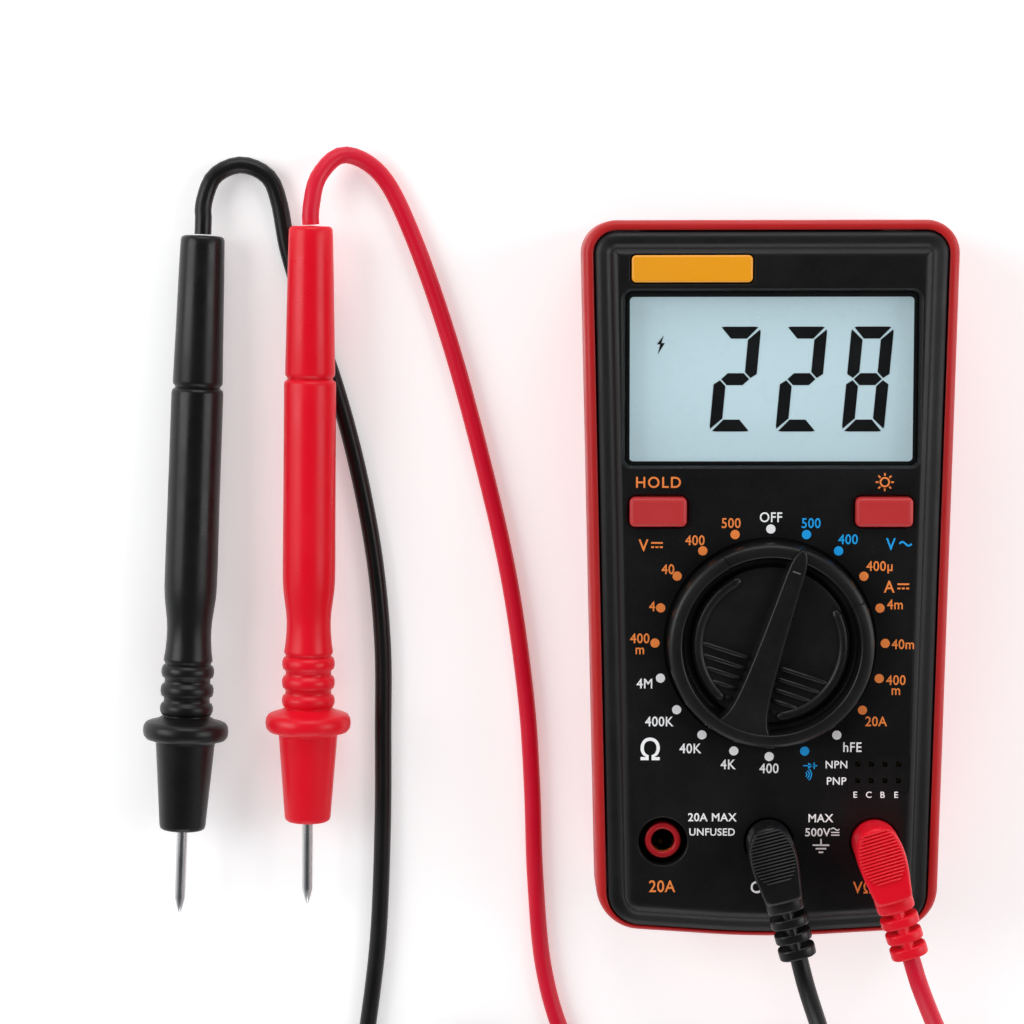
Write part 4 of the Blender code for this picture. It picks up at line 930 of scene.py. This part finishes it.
def band_plate(outer, inner, low, high):
    """A flat ring between two outlines of equal count."""
    rings = [[(x, y, low) for x, y in outer], [(x, y, high) for x, y in outer],
             [(x, y, high) for x, y in inner], [(x, y, low) for x, y in inner]]
    return layers(rings, closed=True)


window_in = block(50.4, 29.8, 0.7, (0.0, 36.5))
window_out = block(*WINDOW, 0.9, DISPLAY, -0.02)
make("window_border", [band_plate(window_out, window_in, 30.12, 30.22)], BORDER, "meter")

SEGMENT_LOW = LCD_TOP_Z + 0.02
SEGMENT_HIGH = LCD_TOP_Z + 0.1


def digit(lit, left, low):
    """Seven mitred segments, slanted a little; lit names the ones that show."""
    w, h = 7.55, 18.8
    t, g = 2.15, 0.2  # a segment's thickness and the gap at its ends
    slant = 0.088
    mid = h / 2
    near, far = 0.3, 0.85
    top = [(g + far, h), (w - g - far, h), (w - g - near, h - 0.12), (w - t - g, h - t), (t + g, h - t),
           (g + near, h - 0.12)]
    upper_left = [(0.12, h - g - near), (t, h - t - g), (t, mid + t / 2 + g), (t / 2, mid + g),
                  (0, mid + t / 3 + g), (0, h - g - far)]
    lower_left = [(x, h - y) for x, y in upper_left]
    parts = {
        "a": top, "d": [(x, h - y) for x, y in top],
        "f": upper_left, "b": [(w - x, y) for x, y in upper_left],
        "e": lower_left, "c": [(w - x, y) for x, y in lower_left],
        "g": [(t / 2 + g, mid), (t + g, mid + t / 2), (w - t - g, mid + t / 2), (w - t / 2 - g, mid),
              (w - t - g, mid - t / 2), (t + g, mid - t / 2)],
    }
    shift = -slant * mid
    shapes = []
    for name in lit:
        outline = [(left + x + shift + slant * y, low + y) for x, y in parts[name]]
        shapes.append(slab(outline, SEGMENT_LOW, SEGMENT_HIGH))
    return shapes


shapes = []
for lit, left in (("abged", -10.05), ("abged", 1.8), ("abcdefg", 13.65)):
    shapes += digit(lit, left, 27.2)
bolt = [(0.55, 1.75), (-0.75, 0.1), (-0.1, 0.1), (-0.55, -1.75), (0.75, 0.35), (0.1, 0.35)]
bolt_at = [(-19.6 + x * 0.95, 42.75 + y * 0.95) for x, y in bolt]
shapes.append(slab(bolt_at, SEGMENT_LOW, SEGMENT_HIGH))
make("display_segments", shapes, SEGMENT, "meter")


# ---- printing on the face

PRINT_LOW = FACE_Z - 0.01
PRINT_HIGH = FACE_Z + 0.035


def letters(text, x, y, height, wide=0.9, bold=0.03, spacing=1.06):
    """Text in the built-in face, as closed shapes, centred on (x, y); height is that of a capital."""
    curve = bpy.data.curves.new("lettering", "FONT")
    curve.body = text
    curve.size = height / 0.72
    curve.offset = bold * height / 1.85
    curve.space_character = spacing
    curve.align_x = "CENTER"
    curve.extrude = (PRINT_HIGH - PRINT_LOW) / 2
    curve.resolution_u = 4
    item = add_object("lettering", curve)
    bpy.context.view_layer.update()
    mesh = bpy.data.meshes.new_from_object(item.evaluated_get(bpy.context.evaluated_depsgraph_get()))
    middle = (PRINT_LOW + PRINT_HIGH) / 2
    verts = [Vector((v.co.x * wide + x, v.co.y + y - height / 2, v.co.z + middle)) for v in mesh.vertices]
    faces = [list(p.vertices) for p in mesh.polygons]
    bpy.data.objects.remove(item, do_unlink=True)
    bpy.data.curves.remove(curve)
    bpy.data.meshes.remove(mesh)
    return verts, faces


def flat(outline):
    """A printed patch."""
    return slab(outline, PRINT_LOW, PRINT_HIGH)


def bar_at(x, y, width, height):
    """A printed rectangle centred on (x, y)."""
    return flat([(x - width / 2, y - height / 2), (x + width / 2, y - height / 2),
                 (x + width / 2, y + height / 2), (x - width / 2, y + height / 2)])


def stroke(points, width):
    """A printed line of even width through points."""
    left = []
    right = []
    for i, p in enumerate(points):
        a = Vector(points[max(i - 1, 0)])
        b = Vector(points[min(i + 1, len(points) - 1)])
        ahead = (b - a).normalized()
        side = Vector((-ahead.y, ahead.x)) * (width / 2)
        left.append((p[0] + side.x, p[1] + side.y))
        right.append((p[0] - side.x, p[1] - side.y))
    shapes = []
    for i in range(len(points) - 1):
        shapes.append(flat([left[i], right[i], right[i + 1], left[i + 1]]))
    return shapes


def wave(x, y, length, height, width):
    """The sign for alternating current."""
    steps = 12
    return stroke([(x - length / 2 + length * k / steps, y + height / 2 * math.sin(2 * math.pi * k / steps))
                   for k in range(steps + 1)], width)


def direct(x, y, length):
    """The sign for direct current: a line over three dashes."""
    shapes = [bar_at(x, y + 0.38, length, 0.3)]
    dash = length / 3.9
    for k in (-1, 0, 1):
        shapes.append(bar_at(x + k * (length - dash) / 2, y - 0.38, dash, 0.3))
    return shapes


orange, blue, white = [], [], []
inks = {"o": orange, "b": blue, "w": white}
DOTS = "wbboooo" + "ow" + "bwwwww" + "ooooo"
for k, ink in enumerate(DOTS):
    angle = 2 * math.pi * k / 20
    dot_at = (DOT_RING_RADIUS * math.sin(angle), DIAL_Y + DOT_RING_RADIUS * math.cos(angle))
    inks[ink].append(flat(circle(0.83, dot_at, 28)))
LABELS = (
    ("w", "OFF", 0.0, 22.75), ("b", "500", 7.15, 21.7), ("b", "400", 13.8, 18.8), ("o", "400µ", 19.5, 14.0),
    ("o", "4m", 22.3, 7.1), ("o", "40m", 23.8, -0.1), ("o", "400", 22.6, -6.6), ("o", "m", 22.6, -8.4),
    ("o", "20A", 19.1, -14.1), ("w", "hFE", 14.9, -18.8), ("w", "400", 0.0, -22.7), ("w", "4K", -7.4, -22.0),
    ("w", "40K", -14.2, -19.1), ("w", "400K", -19.8, -14.2), ("w", "4M", -22.4, -7.3),
    ("o", "400", -23.3, 0.9), ("o", "m", -23.3, -1.1), ("o", "4", -21.1, 6.7), ("o", "40", -18.3, 13.4),
    ("o", "400", -13.5, 18.6), ("o", "500", -7.1, 21.7),
)
for ink, text, x, y in LABELS:
    inks[ink].append(letters(text, x, DIAL_Y + y, 1.8))
# ink, text, x, y and height of each sign, then its width, weight and spacing
SIGNS = (
    ("o", "HOLD", -20.1, 18.5, 2.0, 0.98, 0.03, 1.16), ("o", "V", -22.7, 7.2, 2.2),
    ("b", "V", 21.4, 7.45, 2.2), ("o", "A", 21.2, -0.2, 2.2), ("w", "Ω", -21.4, -29.8, 3.9, 0.95),
    ("w", "NPN", 12.1, -32.5, 1.4, 1.0), ("w", "PNP", 12.1, -35.5, 1.4, 1.0),
    ("o", "20A", -19.2, -54.9, 2.2), ("w", "COM", 0.0, -55.0, 2.2), ("o", "VΩmA", 19.3, -55.0, 2.2),
    ("w", "20A MAX", -10.2, -42.2, 1.5, 0.98, 0.045), ("w", "UNFUSED", -10.2, -44.9, 1.35, 0.98, 0.045),
    ("w", "MAX", 9.3, -42.3, 1.5, 0.98, 0.045), ("w", "500V", 8.8, -44.9, 1.5, 1.0, 0.045),
)
for ink, *sign in SIGNS:
    inks[ink].append(letters(*sign))
for k, name in enumerate("ECBE"):
    white.append(letters(name, 15.5 + SOCKET_PITCH[0] * k, -38.0, 1.15, 1.0))
orange += direct(-20.3, 7.2, 2.1)
orange += direct(23.7, -0.2, 2.1)
blue += wave(24.0, 7.45, 2.2, 0.7, 0.32)
white += wave(12.0, -44.35, 1.5, 0.4, 0.2)
BARS = ((12.0, -44.95, 1.5, 0.2), (12.0, -45.45, 1.5, 0.2), (9.45, -46.7, 0.28, 1.1),
        (9.45, -47.3, 3.0, 0.28), (9.45, -47.95, 1.9, 0.28), (9.45, -48.6, 0.85, 0.28))
white += [bar_at(*bar) for bar in BARS]
sun_x, sun_y = 20.2, 18.5
orange.append(band_plate(circle(0.92, (sun_x, sun_y), 28), circle(0.62, (sun_x, sun_y), 28), PRINT_LOW,
                         PRINT_HIGH))
for c, s in circle(1.0, (0.0, 0.0), 8):
    orange += stroke([(sun_x + 1.12 * c, sun_y + 1.12 * s), (sun_x + 1.62 * c, sun_y + 1.62 * s)], 0.28)
diode_x, diode_y = 7.2, DIAL_Y - 22.7
blue.append(flat([(diode_x - 0.2, diode_y + 1.0), (diode_x - 0.2, diode_y - 0.1),
                      (diode_x + 0.75, diode_y + 0.45)]))
blue.append(bar_at(diode_x + 0.9, diode_y + 0.45, 0.24, 1.15))
blue.append(bar_at(diode_x + 0.2, diode_y + 0.45, 2.5, 0.2))
for k in range(3):
    reach = 0.5 + 0.42 * k
    blue += stroke([(diode_x - 0.9 + reach * math.cos(a), diode_y - 1.15 + reach * math.sin(a))
                        for a in [math.radians(-50 + 20 * i) for i in range(6)]], 0.2)
for name, ink, finish in (("print_orange", orange, INK_ORANGE), ("print_blue", blue, INK_BLUE),
                          ("print_white", white, INK_WHITE)):
    make(name, ink, finish, "meter")

contact = lathe([(0.42, 29.6), (0.42, 26.5), (0.3, 26.5), (0.3, 29.6), (0.42, 29.6)], 16)
contacts = []
for column in range(4):
    for row in range(2):
        x = SOCKET[0] + SOCKET_PITCH[0] * (column - 1.5)
        y = SOCKET[1] + SOCKET_PITCH[1] * (row - 0.5)
        contacts.append(moved(contact, Matrix.Translation((x, y, 0.0))))
make("socket_contacts", contacts, BRASS, "meter")


# ---- floor and light

floor_mesh = bpy.data.meshes.new("floor")
floor_mesh.from_pydata([(-4, -4, 0), (4, -4, 0), (4, 4, 0), (-4, 4, 0)], [], [(0, 1, 2, 3)])
floor_mesh.materials.append(STAGE)
floor = add_object("floor", floor_mesh)
floor.location.z = -0.0001

world = bpy.data.worlds.new("world")
bpy.context.scene.world = world
world.use_nodes = True
tree = world.node_tree
sky = tree.nodes["Background"]
where = tree.nodes.new("ShaderNodeTexCoord")
split = tree.nodes.new("ShaderNodeSeparateXYZ")
ramp = tree.nodes.new("ShaderNodeMapRange")
fill(ramp, {"From Min": 0.0, "From Max": 0.9, "To Min": 0.85, "To Max": 0.07})
tree.links.new(where.outputs["Generated"], split.inputs["Vector"])
tree.links.new(split.outputs["Z"], ramp.inputs["Value"])
tree.links.new(ramp.outputs["Result"], sky.inputs["Strength"])
sky.inputs["Color"].default_value = (0.97, 0.985, 1.0, 1.0)


def softbox(name, location, size, power):
    """A soft rectangular light, aimed at the origin."""
    data = bpy.data.lights.new(name, "AREA")
    data.shape = "RECTANGLE"
    data.size, data.size_y = size
    data.energy = power
    lamp = add_object(name, data)
    lamp.location = location
    aim = Vector() - Vector(location)
    lamp.rotation_euler = aim.to_track_quat("-Z", "Y").to_euler()


softbox("key_light", (-0.85, 0.25, 0.6), (0.6, 0.7), 5.4)
softbox("fill_light", (0.85, 0.1, 0.52), (0.5, 0.8), 4.0)
softbox("top_light", (0.05, 1.0, 0.55), (0.9, 0.5), 4.6)
softbox("low_light", (0.0, -1.0, 0.5), (0.9, 0.5), 3.2)
bpy.context.scene.view_settings.view_transform = "Standard"
